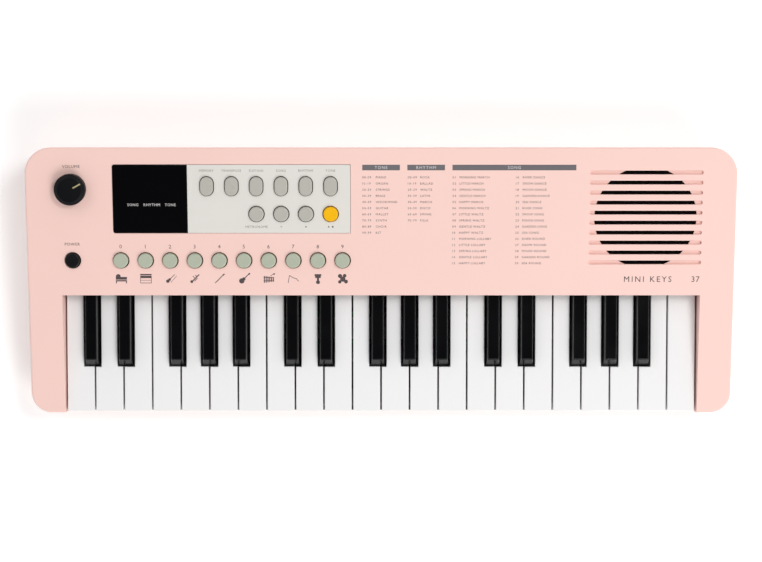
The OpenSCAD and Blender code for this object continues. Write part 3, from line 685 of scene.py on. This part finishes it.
# %% Turned sections
def turned(section, name, steps=64):
    """A closed outline of (radius, height) in millimetres, turned once about Z."""
    mesh = bpy.data.meshes.new(name)
    points = [(r * MM, 0, z * MM) for r, z in section]
    sides = [(i, (i + 1) % len(points)) for i in range(len(points))]
    mesh.from_pydata(points, [s for s in sides if points[s[0]][0] + points[s[1]][0] > 0], [])
    obj = bpy.data.objects.new(name, mesh)
    bpy.context.scene.collection.objects.link(obj)
    edit(obj, "EDGE")
    bpy.ops.mesh.spin(steps=steps, angle=math.tau, center=(0, 0, 0), axis=(0, 0, 1))
    bpy.ops.mesh.select_all(action="SELECT")
    bpy.ops.mesh.remove_doubles(threshold=MERGE)
    bpy.ops.mesh.dissolve_degenerate(threshold=MERGE)
    bpy.ops.mesh.normals_make_consistent(inside=False)
    done()
    return obj


# %% Knob
knob_low, knob_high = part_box("volume_knob")
KNOB_R = (knob_high[0] - knob_low[0]) / 2
KNOB_X = (knob_high[0] + knob_low[0]) / 2
KNOB_Y = BAY_Y + 76.8 * MM
KNOB_RISE = 8.0 * MM
POINTER_TURN = math.radians(29)
R = KNOB_R / MM
shaft = [(0, -7.5), (2.8, -7.5), (3, -7.3), (3, 0.7)]
hollow = [(4.6, 0.7), (4.6, 4.6), (R - 1.6, 4.6), (R - 1.6, 0.7)]
skirt = [(R - 0.3, 0.7), (R, 1.0), (R, 5.9), (R - 0.08, 6.22), (R - 0.3, 6.4)]
chamfer = [(R - 2.4, 7.86), (R - 2.65, 7.98), (R - 2.9, 7.96)]
face = [(R - 3.05, 7.75), (0, 7.75)]
knob = turned(shaft + hollow + skirt + chamfer + face, "volume_dial", 96)
placed(smooth(knob, 28), on_top(KNOB_X, KNOB_Y))
hand_over(knob, "volume_knob", KNOB_BLACK, ["volume_knob"])

POINTER_FROM = 3.1 * MM
POINTER_TO = KNOB_R - 2.0 * MM
POINTER_W = 1.0 * MM
POINTER_T = 0.5 * MM
pointer = slab((POINTER_TO - POINTER_FROM, POINTER_W, POINTER_T),
               ((POINTER_TO + POINTER_FROM) / 2, 0, KNOB_RISE - POINTER_T / 2))
pointer.name = "volume_pointer"
rounded(pointer, 0.08 * MM, 2, lambda e: is_sharp(e, 60))
placed(smooth(pointer), on_top(KNOB_X, KNOB_Y) @ Matrix.Rotation(POINTER_TURN, 4, "Z"))
hand_over(pointer, "volume_knob", POINTER)

# %% [markdown]
# ## Window and panel
# The black window and the pale panel drop into one shallow recess. Both are punched
# from sheet, so their edges are softened only a little.

# %% Window and panel
PANEL_LIFT = 0.3 * MM


def plate(node, name, material, radius=0.25 * MM):
    sheet = moulding(node, name)

    def on_face(edge):
        away = [(v.co - Vector((0, REAR_Y, REAR_Z))).dot(NORMAL) - PANEL_LIFT for v in edge.verts]
        return is_sharp(edge, 45) and max(abs(a) for a in away) < TOUCH

    rounded(sheet, radius, 2, on_face)
    smooth(sheet)
    return hand_over(sheet, "case", material, [node])


plate("control_panel", "pale_panel", PANEL, 0.15 * MM)
plate("display_window", "window_pane", GLOSS)

# %% [markdown]
# ## Printed legends
# Pad printing leaves a film of ink a few hundredths of a millimetre thick. Each legend
# is a text object turned into a thin closed solid, so it is real geometry. Only
# plain words, digits and signs are used.

# %% Printing
INK_T = 0.03 * MM


def flat_text(words, height, align="CENTER", wide=1.12):
    """Words in capitals of that height, lying flat with their middle or left end at the origin."""
    bpy.ops.object.text_add()
    text = bpy.context.object
    text.data.body = words
    text.data.align_x = "LEFT"
    text.data.align_y = "BOTTOM_BASELINE"
    text.data.extrude = 0.5
    text.data.space_character = wide
    text.data.resolution_u = 2
    only(text)
    bpy.ops.object.convert(target="MESH")
    text = bpy.context.object
    xs = [v.co.x for v in text.data.vertices]
    ys = [v.co.y for v in text.data.vertices]
    size = height / (max(ys) - min(ys))
    middle = (max(xs) + min(xs)) / 2 if align == "CENTER" else min(xs)
    shift = Matrix.Translation((-middle, -(max(ys) + min(ys)) / 2, 0.5))
    return placed(text, Matrix.Diagonal((size, size, INK_T, 1)) @ shift)


def print_on_top(words, x, y, height, lift=0.0, **style):
    return placed(flat_text(words, height, **style), on_top(x, y, lift))


def print_piece(parts, name, material):
    legend = joined(parts, name)
    edit(legend)
    bpy.ops.mesh.remove_doubles(threshold=0.0001 * MM)
    done()
    return hand_over(legend, "case", material)


DIGIT_H = 2.7 * MM
NAME_H = 2.1 * MM
PANEL_WORD_H = 1.7 * MM
WINDOW_WORD_H = 1.9 * MM
DIGIT_Y = NUMBER_Y + 10 * MM
MODE_WORD_Y = MODE_Y + 11.1 * MM
OPTION_WORD_Y = OPTION_Y - 9.2 * MM
WINDOW_WORD_Y = PANEL_Y + 20.3 * MM
digits = [print_on_top(str(i), x, DIGIT_Y, DIGIT_H) for i, x in enumerate(number_xs)]
names = [print_on_top("VOLUME", KNOB_X + 0.5 * MM, KNOB_Y + 16 * MM, NAME_H),
         print_on_top("POWER", POWER_X, NUMBER_Y + 11.7 * MM, NAME_H)]
print_piece(digits + names, "print_digits", INK)

mode_words = ["MEMORY", "TRANSPOSE", "SUSTAIN", "SONG", "RHYTHM", "TONE"]
panel_words = [print_on_top(word, x, MODE_WORD_Y, PANEL_WORD_H, PANEL_LIFT)
               for word, x in zip(mode_words, mode_xs)]
panel_words.append(print_on_top("METRONOME", option_xs[0], OPTION_WORD_Y, PANEL_WORD_H, PANEL_LIFT))
print_piece(panel_words, "print_panel_words", PALE_INK)


def bar(x, y, width, height, turn=0.0):
    """A flat printed bar with its middle at (x, y), in millimetres."""
    strip = slab((width * MM, height * MM, INK_T), (0, 0, INK_T / 2))
    turned_by = Matrix.Rotation(math.radians(turn), 4, "Z")
    return placed(strip, Matrix.Translation((x * MM, y * MM, 0)) @ turned_by)


def dot(x, y, radius, sides=24):
    return drum(radius * MM, 0, INK_T, sides, (x * MM, y * MM))


def stacked(parts, place, name="sign"):
    """Join flat shapes into one sign, each a hair above the last so that none coincide."""
    for step, part in enumerate(parts):
        placed(part, Matrix.Translation((0, 0, step * 0.002 * MM)))
    return placed(joined(parts, name), place)


def panel_sign(parts, x):
    """A sign under one of the lower caps on the panel."""
    return stacked(parts, on_top(x, OPTION_WORD_Y, PANEL_LIFT))


SIGN_L, SIGN_T = 1.3, 0.35
play = panel_sign([dot(-1.4, 0, 0.8, 3), bar(1.4, 0, 1.1, 1.1)], START_X)
minus = panel_sign([bar(0, 0, SIGN_L, SIGN_T)], option_xs[1])
plus = panel_sign([bar(0, 0, SIGN_L, SIGN_T), bar(0, 0, SIGN_T, SIGN_L)], option_xs[2])
print_piece([play, minus, plus], "print_panel_signs", INK)

window_words = [print_on_top(word, window_low[0] + x * MM, WINDOW_WORD_Y, WINDOW_WORD_H, PANEL_LIFT)
                for word, x in (("SONG", 14.4), ("RHYTHM", 28), ("TONE", 41.2))]
print_piece(window_words, "print_window_words", WHITE_INK)

# %% [markdown]
# ## Lists beside the panel
# Three lists name the tones, rhythms and songs. Each has a grey bar with its title and
# lines of a number and a plain word or two. A loop sets the lines, so one pitch and one
# first line place them all.

# %% Lists
LIST_TOP = BAY_Y + 92.1 * MM
LINE_PITCH = 4.41 * MM
FIRST_LINE = BAY_Y + 85.1 * MM
LINE_H = 1.55 * MM
TITLE_H = 2.1 * MM
BAR_H = 4.0
LIST_X = (-13.4, 18.8, 51.05)
LIST_END = (13.5, 45.7, 139.5)
tones = ["PIANO", "ORGAN", "STRINGS", "BRASS", "WOODWIND", "GUITAR", "MALLET", "SYNTH", "CHOIR", "KIT"]
rhythms = ["ROCK", "BALLAD", "WALTZ", "LATIN", "MARCH", "DISCO", "SWING", "FOLK"]
moods = ["MORNING", "LITTLE", "SPRING", "GENTLE", "HAPPY"]
forms = ["MARCH", "WALTZ", "LULLABY"]
songs = [f"{mood} {form}" for form in forms for mood in moods]
more_moods = ["RIVER", "SNOW", "MOON", "GARDEN", "SEA"]
more_forms = ["DANCE", "SONG", "ROUND"]
more_songs = [f"{mood} {form}" for form in more_forms for mood in more_moods]


def list_block(title, left, right, columns):
    """A titled list; each column is (x of the numbers, x of the words, first number, step, words)."""
    middle = (left + right) / 2 * MM
    heading = stacked([bar(0, 0, right - left, BAR_H)], on_top(middle, LIST_TOP))
    caption = print_on_top(title, middle, LIST_TOP, TITLE_H, INK_T + 0.01 * MM, wide=1.25)
    lines = []
    for number_x, word_x, first, step, words in columns:
        for row, word in enumerate(words):
            y = FIRST_LINE - row * LINE_PITCH
            value = first + row * step
            number = f"{value:02d}" if step == 1 else f"{value:02d}-{value + step - 1:02d}"
            lines.append(print_on_top(number, number_x * MM, y, LINE_H, align="LEFT", wide=1.3))
            lines.append(print_on_top(word, word_x * MM, y, LINE_H, align="LEFT", wide=1.2))
    return heading, caption, lines


tone_list, rhythm_list, song_list = zip(LIST_X, LIST_END)
song_columns = [(51.25, 56.2, 1, 1, songs), (96.5, 101.4, 1 + len(songs), 1, more_songs)]
blocks = [list_block("TONE", *tone_list, [(-13.4, -3.7, 0, 10, tones)]),
          list_block("RHYTHM", *rhythm_list, [(19.2, 28.1, 0, 10, rhythms)]),
          list_block("SONG", *song_list, song_columns)]
print_piece([b[0] for b in blocks], "print_list_bars", BAR_INK)
print_piece([b[1] for b in blocks], "print_list_titles", WHITE_INK)
print_piece([line for b in blocks for line in b[2]], "print_list_lines", INK)
PLATE_Y = BAY_Y + 11.8 * MM
PLATE_H = 4.1 * MM
print_piece([print_on_top("MINI KEYS", 192.5 * MM, PLATE_Y, PLATE_H, wide=1.35),
             print_on_top("37", 227 * MM, PLATE_Y, PLATE_H, wide=1.1)], "print_nameplate", INK)

# %% [markdown]
# ## Instrument signs
# Under each number a small sign shows an instrument. Each is built from bars and dots in
# millimetres about its own middle, in the simplest form that still reads.

# %% Signs
def violin(scale=1.0):
    return [dot(-2.0 * scale, -1.9 * scale, 1.25), dot(-0.7 * scale, -0.7 * scale, 0.95),
            bar(1.2, 1.1, 5.2, 0.45, 45)]


signs = [
    [dot(-2.2, 1.6, 1.7), bar(0, 0.2, 8.0, 2.0), bar(0, -1.6, 8.0, 0.9), bar(-3.6, -2.7, 0.7, 1.6),
     bar(3.6, -2.7, 0.7, 1.6)],
    [bar(0, 2.9, 8.2, 1.0), bar(0, 1.2, 8.2, 1.7), bar(-3.9, -1.4, 0.35, 4.0), bar(3.9, -1.4, 0.35, 4.0),
     bar(0, -1.2, 7.8, 0.3), bar(0, -3.2, 8.2, 0.4)],
    violin() + [bar(2.4, -0.4, 6.4, 0.25, 48)],
    [bar(0, 0, 8.4, 0.8, 45), dot(-2.4, -2.2, 1.2, 5), bar(0.6, -0.8, 3.2, 0.5, 45),
     bar(-0.6, 0.9, 2.6, 0.5, -45), bar(0.8, 2.0, 1.8, 0.5, -45)],
    [bar(0, 0, 9.2, 0.6, 45), bar(2.9, 2.9, 1.6, 0.9, 45)],
    [dot(-1.8, -1.7, 1.9), dot(-0.3, -0.3, 1.2), bar(1.9, 1.9, 4.4, 0.6, 45), bar(3.6, 3.5, 1.3, 1.1, 45)],
    [bar(-3.2 + 1.3 * i, -0.6, 0.75, 5.0 - 0.35 * i) for i in range(6)]
    + [bar(0, 0.9, 7.6, 0.4), bar(0, -1.6, 7.6, 0.4), bar(2.6, 2.8, 3.0, 0.35, 30), dot(3.8, 3.4, 0.6)],
    [bar(-3.3, -0.4, 5.6, 0.4, 80), bar(-1.4, 1.4, 3.4, 0.4, -35), bar(1.2, 0.2, 2.8, 0.4, -15),
     bar(3.1, -1.2, 2.4, 0.4, -50)],
    [bar(0, 2.6, 4.8, 1.3), bar(0, 1.2, 4.0, 1.5), bar(0, -0.6, 1.5, 2.2), dot(0, -2.6, 1.4),
     bar(0, -3.3, 2.8, 0.5)],
    [dot(-1.8, 1.9, 1.5), dot(1.5, 2.1, 1.3), dot(0.2, -0.4, 1.9), dot(-2.0, -2.4, 1.2),
     dot(2.5, -2.2, 1.4), bar(0, 0, 6.5, 0.4, 35)],
]
SIGN_Y = BAY_Y + 12.2 * MM
drawn = [stacked(parts, on_top(x, SIGN_Y)) for parts, x in zip(signs, number_xs)]
print_piece(drawn, "print_signs", SIGN_INK)

# %% [markdown]
# ## Loudspeaker
# Behind the slots lies a black woven cloth that keeps dust off the cone. The cone, its
# rubber roll, the pressed basket and the magnet are all round, so each is a section
# turned about the speaker's axis.

# %% Cloth and speaker
SPEAKER_X = case_high[0] - 65 * MM
SPEAKER_Y = BAY_Y + 56.2 * MM
SPEAKER_R = 38.5 * MM
CLOTH_Z = -2.9 * MM
CLOTH_T = 0.4 * MM
RIM_Z = -3.1 * MM
DEPTH = 27 * MM


def cloth_finish():
    """Two crossed waves make the threads of a plain weave."""
    nodes = Nodes("speaker_cloth")
    threads = []
    for direction in ("X", "Y"):
        wave = nodes.add("ShaderNodeTexWave", bands_direction=direction)
        wave.inputs["Scale"].default_value = 300
        nodes.link(nodes.place, wave.inputs["Vector"])
        threads.append(wave.outputs["Fac"])
    weave = nodes.add("ShaderNodeMath", operation="MULTIPLY")
    nodes.link(threads[0], weave.inputs[0])
    nodes.link(threads[1], weave.inputs[1])
    nodes.link(nodes.ramp(weave.outputs[0], colour(3, 2, 2), colour(14, 11, 11), 0.2, 0.8),
               nodes.shader.inputs["Base Color"])
    nodes.bump(weave.outputs[0], 0.05 * MM)
    nodes.shader.inputs["Roughness"].default_value = 0.95
    nodes.shader.inputs["Specular IOR Level"].default_value = 0.08
    return nodes.material


CLOTH = cloth_finish()
BASKET = plastic("speaker_metal", colour(36, 36, 39), rough=0.35, drift=0.06, grain=0.01, metal=0.9)
PAPER = plastic("speaker_paper", colour(26, 25, 24), rough=0.9, drift=0.2, grain=0.06, grain_scale=900)
speaker_place = on_top(SPEAKER_X, SPEAKER_Y)
cloth = drum(SPEAKER_R, CLOTH_Z, CLOTH_Z + CLOTH_T, 96)
cloth.name = "speaker_cloth"
rounded(cloth, 0.1 * MM, 2, lambda e: is_sharp(e, 60))
placed(smooth(cloth), speaker_place)
hand_over(cloth, "case", CLOTH)

top, base = RIM_Z / MM, (RIM_Z - DEPTH) / MM
basket = turned([(36.5, top), (38.5, top), (38.5, top - 1.6), (35.5, top - 1.6), (21, base + 10),
                 (0.0, base + 10), (0.0, base + 11), (20, base + 11), (34, top - 2.4)], "speaker_basket")


def ear_corner(edge):
    """True on the upright edges at the outer end of an ear."""
    upwards = abs(edge.verts[0].co.z - edge.verts[1].co.z) > MM
    return is_sharp(edge, 60) and upwards and edge.verts[0].co.x > SPEAKER_R


EAR_T = 1.6 * MM
ears = []
for quarter in range(4):
    ear = slab((10.5 * MM, 8 * MM, EAR_T), (SPEAKER_R + 1.25 * MM, 0, RIM_Z - EAR_T / 2))
    rounded(ear, 2.4 * MM, 4, ear_corner)
    ears.append(placed(ear, Matrix.Rotation(math.radians(45 + 90 * quarter), 4, "Z")))
basket = joined([basket] + ears, "speaker_basket")
placed(smooth(basket), speaker_place)
hand_over(basket, "case", BASKET, ["speaker"])

magnet = turned([(0, base), (21.8, base), (22.5, base + 0.7), (22.5, base + 9.3), (21.8, base + 10),
                 (0, base + 10)], "speaker_magnet")
placed(smooth(magnet), speaker_place)
hand_over(magnet, "case", BASKET)

cone_front = [(0, base + 18.4), (5, base + 18), (9, base + 15.5), (30.5, top - 3.0)]
roll = [(32.0, top - 1.6), (33.5, top - 1.2), (35.0, top - 1.6), (36.3, top - 2.0), (35.0, top - 2.2),
        (33.5, top - 1.8), (32.0, top - 2.2)]
cone_back = [(30.5, top - 3.7), (9, base + 14.8), (5, base + 17.4), (0, base + 17.8)]
cone = turned(cone_front + roll + cone_back, "speaker_cone")
placed(smooth(cone, 60), speaker_place)
hand_over(cone, "case", PAPER)

# %% [markdown]
# ## Rear sockets
# Two round sockets take small plugs and a flat one takes the power lead. Each round one
# is a black moulding with a thin metal collar at its mouth, which is where it wears. The
# holes are cut with a boolean, because the bore has to stay exactly round.

# %% Cutting holes
def cut(obj, cutter):
    """Take cutter away from obj."""
    only(obj)
    bpy.ops.object.modifier_add(type="BOOLEAN")
    hole = obj.modifiers[-1]
    hole.operation = "DIFFERENCE"
    hole.solver = "EXACT"
    hole.object = cutter
    bpy.ops.object.modifier_apply(modifier=hole.name)
    bpy.data.objects.remove(cutter)
    return obj


def block(low, high):
    """A box between two corners given in millimetres."""
    size = [(b - a) * MM for a, b in zip(low, high)]
    return slab(size, [(a + b) / 2 * MM for a, b in zip(low, high)])


def softened(obj, width=0.2 * MM, segments=2):
    return smooth(rounded(obj, width, segments, lambda e: is_sharp(e, 45)))


# %% Sockets
WALL = 2.2
JACK_XS = (-193, -175)
USB_X = -155
SOCKET_Z = 30
JACK_R = 1.8
REAR = REAR_Y / MM
outward = Matrix.Rotation(math.radians(-90), 4, "X")
bodies, collars = [], []
for x in JACK_XS:
    place = Matrix.Translation((x * MM, REAR_Y, SOCKET_Z * MM)) @ outward
    nose = turned([(JACK_R, -WALL - 1), (3.6, -WALL - 1), (3.6, -0.5), (3.4, -0.3), (JACK_R, -0.3)], "nose")
    body = block((-5.5, -5, -14 - WALL - 1), (5.5, 4, -WALL - 0.3))
    rounded(body, 0.4 * MM, 2, lambda e: is_sharp(e, 45))
    cut(body, drum(JACK_R * MM, -15 * MM, 1 * MM, 64))
    collar = turned([(JACK_R, -1.4), (2.2, -1.4), (2.2, -0.3), (2.9, -0.3), (2.9, -0.12), (2.75, -0.04),
                     (2.0, -0.04), (JACK_R, -0.2)], "collar")
    bodies += [placed(nose, place), placed(body, place)]
    collars.append(placed(collar, place))
sockets = smooth(joined(bodies, "socket_bodies"))
hand_over(sockets, "case", BLACK_PLASTIC, ["rear_sockets"])
hand_over(smooth(joined(collars, "socket_collars")), "case", SOCKET_METAL)


def along_y(edge):
    """True on the long edges that run towards the wall."""
    return is_sharp(edge, 45) and abs(edge.verts[0].co.y - edge.verts[1].co.y) > 2 * MM


def at_inlet(half_width, front, back, low, high):
    """A block round the inlet's middle; front and back are measured from the rear wall."""
    return block((USB_X - half_width, REAR + front, SOCKET_Z + low),
                 (USB_X + half_width, REAR + back, SOCKET_Z + high))


shell = at_inlet(4.5, -WALL - 7, -0.3, -1.65, 1.65)
rounded(shell, 1.1 * MM, 5, along_y)
mouth = at_inlet(4.1, -WALL - 6, 1, -1.25, 1.25)
rounded(mouth, 0.8 * MM, 5, along_y)
cut(shell, mouth)
shell.name = "power_socket_shell"
hand_over(smooth(shell), "case", SOCKET_METAL)
tongue = at_inlet(3.2, -WALL - 6, -1.4, -0.35, 0.35)
base_block = at_inlet(4, -WALL - 6.5, -WALL - 1, -4, -1.65)
socket_core = joined([softened(tongue, 0.12 * MM), softened(base_block)], "power_socket_core")
hand_over(socket_core, "case", BLACK_PLASTIC)

# %% Words over the sockets
def print_on_back(words, x, z, height):
    """Words on the rear wall, to be read from behind."""
    turn = Matrix(((-1, 0, 0, x * MM), (0, 0, 1, REAR_Y), (0, 1, 0, z * MM), (0, 0, 0, 1)))
    return placed(flat_text(words, height * MM), turn)


back_words = [print_on_back(word, x, SOCKET_Z + 7.5, 2.0)
              for word, x in (("PHONES", JACK_XS[0]), ("AUDIO IN", JACK_XS[1]), ("DC 5V", USB_X))]
print_piece(back_words, "print_back_words", INK)

# %% [markdown]
# ## Circuit boards
# A circuit board is green lacquer over copper. The lacquer is a little darker over the
# bare glass than over the tracks, so the finish mixes two greens by a pattern of cells,
# and the parts on the board are separate pieces with their own finishes.

# %% Board finish
def board_finish():
    nodes = Nodes("circuit_board")
    cells = nodes.add("ShaderNodeTexVoronoi", feature="DISTANCE_TO_EDGE")
    cells.inputs["Scale"].default_value = 260
    nodes.link(nodes.place, cells.inputs["Vector"])
    tracks = nodes.ramp(cells.outputs["Distance"], colour(58, 128, 78), colour(24, 84, 48), 0.06, 0.10)
    nodes.link(tracks, nodes.shader.inputs["Base Color"])
    nodes.link(nodes.ramp(nodes.noise(40, 3), 0.28, 0.4), nodes.shader.inputs["Roughness"])
    nodes.bump(cells.outputs["Distance"], 0.03 * MM)
    nodes.shader.inputs["Coat Weight"].default_value = 0.3
    return nodes.material


BOARD = board_finish()

# %% Main board
BOARD_TOP = -8.5
BOARD_T = 1.6
BOARD_X0, BOARD_X1 = -236, -14
BOARD_Y0, BOARD_Y1 = 8, 91
STANDOFFS = [(-220, 28.4), (-107.42, 28.4), (-19, 28.4), (-198.2, 87), (-103.7, 87), (-19, 87)]


def top_frame(x, y):
    """A place on the top given in millimetres."""
    return on_top(x * MM, y * MM)


def level_box(x, y, low, high):
    """A box between two corners in the top's own frame at (x, y)."""
    return placed(block(low, high), top_frame(x, y))


UNDER = BOARD_TOP - BOARD_T
HOLE_R = 1.5 * MM
board_width = BOARD_X1 - BOARD_X0
board_length = (BOARD_Y1 - BOARD_Y0) / math.cos(SLOPE)
board = level_box(BOARD_X0, BOARD_Y0, (0, 0, UNDER), (board_width, board_length, BOARD_TOP))
board.name = "main_board_plate"
for x, y in STANDOFFS:
    cut(board, placed(drum(HOLE_R, (UNDER - 1) * MM, (BOARD_TOP + 1) * MM, 32), top_frame(x, y)))
hand_over(smooth(board), "case", BOARD, ["main_board"])

WINDOW_MIDDLE = (-165.45, 59.8)
KNOB = (KNOB_X / MM, KNOB_Y / MM)
SWITCH = (POWER_X / MM, NUMBER_Y / MM)
module = level_box(*WINDOW_MIDDLE, (-18.75, -9.5, BOARD_TOP), (18.75, 9.5, -1.9))
edit(module, "FACE", lambda f: f.normal.dot(NORMAL) > 0.99)
bpy.ops.mesh.inset(thickness=1.6 * MM)
bpy.ops.transform.translate(value=NORMAL * -0.5 * MM)
done()
module.name = "display_body"
hand_over(softened(module, 0.15 * MM), "case", DISPLAY)

control = turned([(3.08, BOARD_TOP), (7.6, BOARD_TOP), (8, BOARD_TOP + 0.4), (8, -4.4), (7.5, -3.9),
                  (4.6, -3.9), (4.4, -2.9), (3.08, -2.9)], "volume_control")
placed(smooth(control), top_frame(*KNOB))
hand_over(control, "case", SOCKET_METAL)

switch = level_box(*SWITCH, (-5, -5, BOARD_TOP), (5, 5, -6.6))
plunger = placed(drum(1.9 * MM, -6.7 * MM, -5.5 * MM, 32), top_frame(*SWITCH))
hand_over(joined([softened(switch, 0.3 * MM), softened(plunger, 0.15 * MM)], "power_switch"), "case",
          DISPLAY)

chips = [level_box(-132.7, 55.2, (0, 0, UNDER - 2), (20, 14, UNDER)),
         level_box(-88.7, 57.2, (0, 0, UNDER - 1.6), (9, 9, UNDER)),
         level_box(-54.7, 39.2, (0, 0, UNDER - 6), (16, 6, UNDER))]
hand_over(joined([softened(chip, 0.2 * MM) for chip in chips], "board_chips"), "case",
          CHIP)

# %% Socket board
socket_board = block((JACK_XS[0] - 13, REAR - WALL - 18, SOCKET_Z - 5.6),
                     (USB_X + 13, REAR - WALL - 0.4, SOCKET_Z - 4))
socket_board.name = "socket_board"
hand_over(softened(socket_board, 0.1 * MM), "case", BOARD)

# %% [markdown]
# ## Parts that keep their CAD shape
# The chassis, its felts, the contact sheets and the contact board are already right, and
# hardly in sight. They stay as they are and only get a finish.

# %% Felt
def felt_finish():
    """Pressed wool: fine noise for the fibres and a sheen along them."""
    nodes = Nodes("felt")
    fibre = nodes.noise(1500, 6, (1, 3, 1))
    nodes.link(nodes.ramp(fibre, colour(96, 92, 94), colour(140, 136, 138)),
               nodes.shader.inputs["Base Color"])
    nodes.bump(fibre, 0.2 * MM)
    nodes.shader.inputs["Roughness"].default_value = 0.95
    nodes.shader.inputs["Sheen Weight"].default_value = 0.4
    return nodes.material


FELT = felt_finish()
kept = {"key_chassis": CHASSIS, "key_felts": FELT, "key_contact_board": BOARD,
        "key_contact_rubber": PALE_RUBBER, "button_rubber": PALE_RUBBER}
for node, finish in kept.items():
    part = NODES[node]
    part.data.materials.clear()
    part.data.materials.append(finish)
print("kept from the CAD:", ", ".join(kept))

# %% [markdown]
# ## Batteries and their door
# Four cells lie side by side, each the other way round from its neighbour. A cell is a
# turned section: a steel can with a button at one end, and a printed sleeve shrunk over
# it. The door carries raised bars for the thumb and an arrow.

# %% Cells
CELL_X = 60
CELL_Y = 51.5
CELL_Z = 12.2
CELL_PITCH = 15.2
CAN_R = 6.9
CELL_R = 7.1
can_parts, sleeve_parts, band_parts = [], [], []
for index in range(4):
    side = 1 if index % 2 == 0 else -1
    place = (Matrix.Translation((CELL_X * MM, (CELL_Y + (index - 1.5) * CELL_PITCH) * MM, CELL_Z * MM))
             @ Matrix.Rotation(math.radians(90 * side), 4, "Y"))
    can = turned([(0, -25.1), (5.6, -25.1), (6.6, -24.8), (CAN_R, -24.4), (CAN_R, 23.4), (6.4, 24.0),
                  (3.4, 24.1), (2.75, 24.4), (2.75, 24.8), (2.45, 25.1), (0, 25.1)], "can", 48)
    sleeve = turned([(CAN_R, -24.5), (CELL_R, -24.3), (CELL_R, 11), (CAN_R, 11)], "sleeve", 48)
    band = turned([(CAN_R, 11), (CELL_R, 11), (CELL_R, 23.6), (CAN_R, 23.8)], "band", 48)
    for piece, kept_list in ((can, can_parts), (sleeve, sleeve_parts), (band, band_parts)):
        kept_list.append(placed(piece, place))
hand_over(smooth(joined(can_parts, "cell_cans")), "case", SOCKET_METAL, ["battery_cells"])
hand_over(smooth(joined(sleeve_parts, "cell_sleeves")), "case", SLEEVE)
hand_over(smooth(joined(band_parts, "cell_bands")), "case", BAND)

springs = moulding("battery_contacts", "battery_springs")
hand_over(smooth(springs, 50), "case", SPRING, ["battery_contacts"])

# %% Door
door_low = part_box("battery_door")[0]
door = moulding("battery_door", "door_panel")
rounded(door, 0.35 * MM, 3,
        lambda e: is_sharp(e, 45) and all(abs(v.co.z - door_low[2]) < TOUCH for v in e.verts))
hand_over(smooth(door), "battery_door", PINK, ["battery_door"])

GRIP_T = 0.45
GRIP_L = 22
GRIP_W = 1.0
GRIP_PITCH = 2.4
DOOR_EDGE = door_low[1] / MM
DOOR_FACE = door_low[2] / MM
grips = []
for row in range(4):
    y = DOOR_EDGE + 5 + row * GRIP_PITCH
    grips.append(block((CELL_X - GRIP_L / 2, y - GRIP_W / 2, DOOR_FACE - GRIP_T),
                       (CELL_X + GRIP_L / 2, y + GRIP_W / 2, DOOR_FACE + 0.1)))
arrow = drum(4.2 * MM, (DOOR_FACE - GRIP_T) * MM, (DOOR_FACE + 0.1) * MM, 3)
half_turn = Matrix.Rotation(math.radians(180), 4, "Z")
placed(arrow, Matrix.Translation((CELL_X * MM, (DOOR_EDGE + 19) * MM, 0)) @ half_turn)
grips.append(arrow)
hand_over(joined([softened(grip, 0.18 * MM) for grip in grips], "door_grips"), "battery_door",
          PINK)

# %% [markdown]
# ## Feet and screws
# The feet are moulded rubber discs with a shallow ring under each. The screws keep their
# CAD shape and only get a finish and smooth shading.

# %% Feet
FOOT_R = 7
FOOT_TOP = 3.3
FEET = ((-225, -82.5), (0, -82.5), (225, -82.5), (-225, 82.5), (0, 70.5), (225, 82.5))
feet = []
for x, y in FEET:
    foot = turned([(0, 0.5), (3.4, 0.5), (3.9, 0), (6.4, 0), (FOOT_R, 0.6), (FOOT_R, FOOT_TOP),
                   (0, FOOT_TOP)], "foot")
    feet.append(placed(foot, Matrix.Translation((x * MM, y * MM, 0))))
hand_over(smooth(joined(feet, "feet")), "case", RUBBER, ["rubber_feet"])

screws = moulding("case_screws", "screws")
hand_over(smooth(screws), "case", STEEL, ["case_screws"])
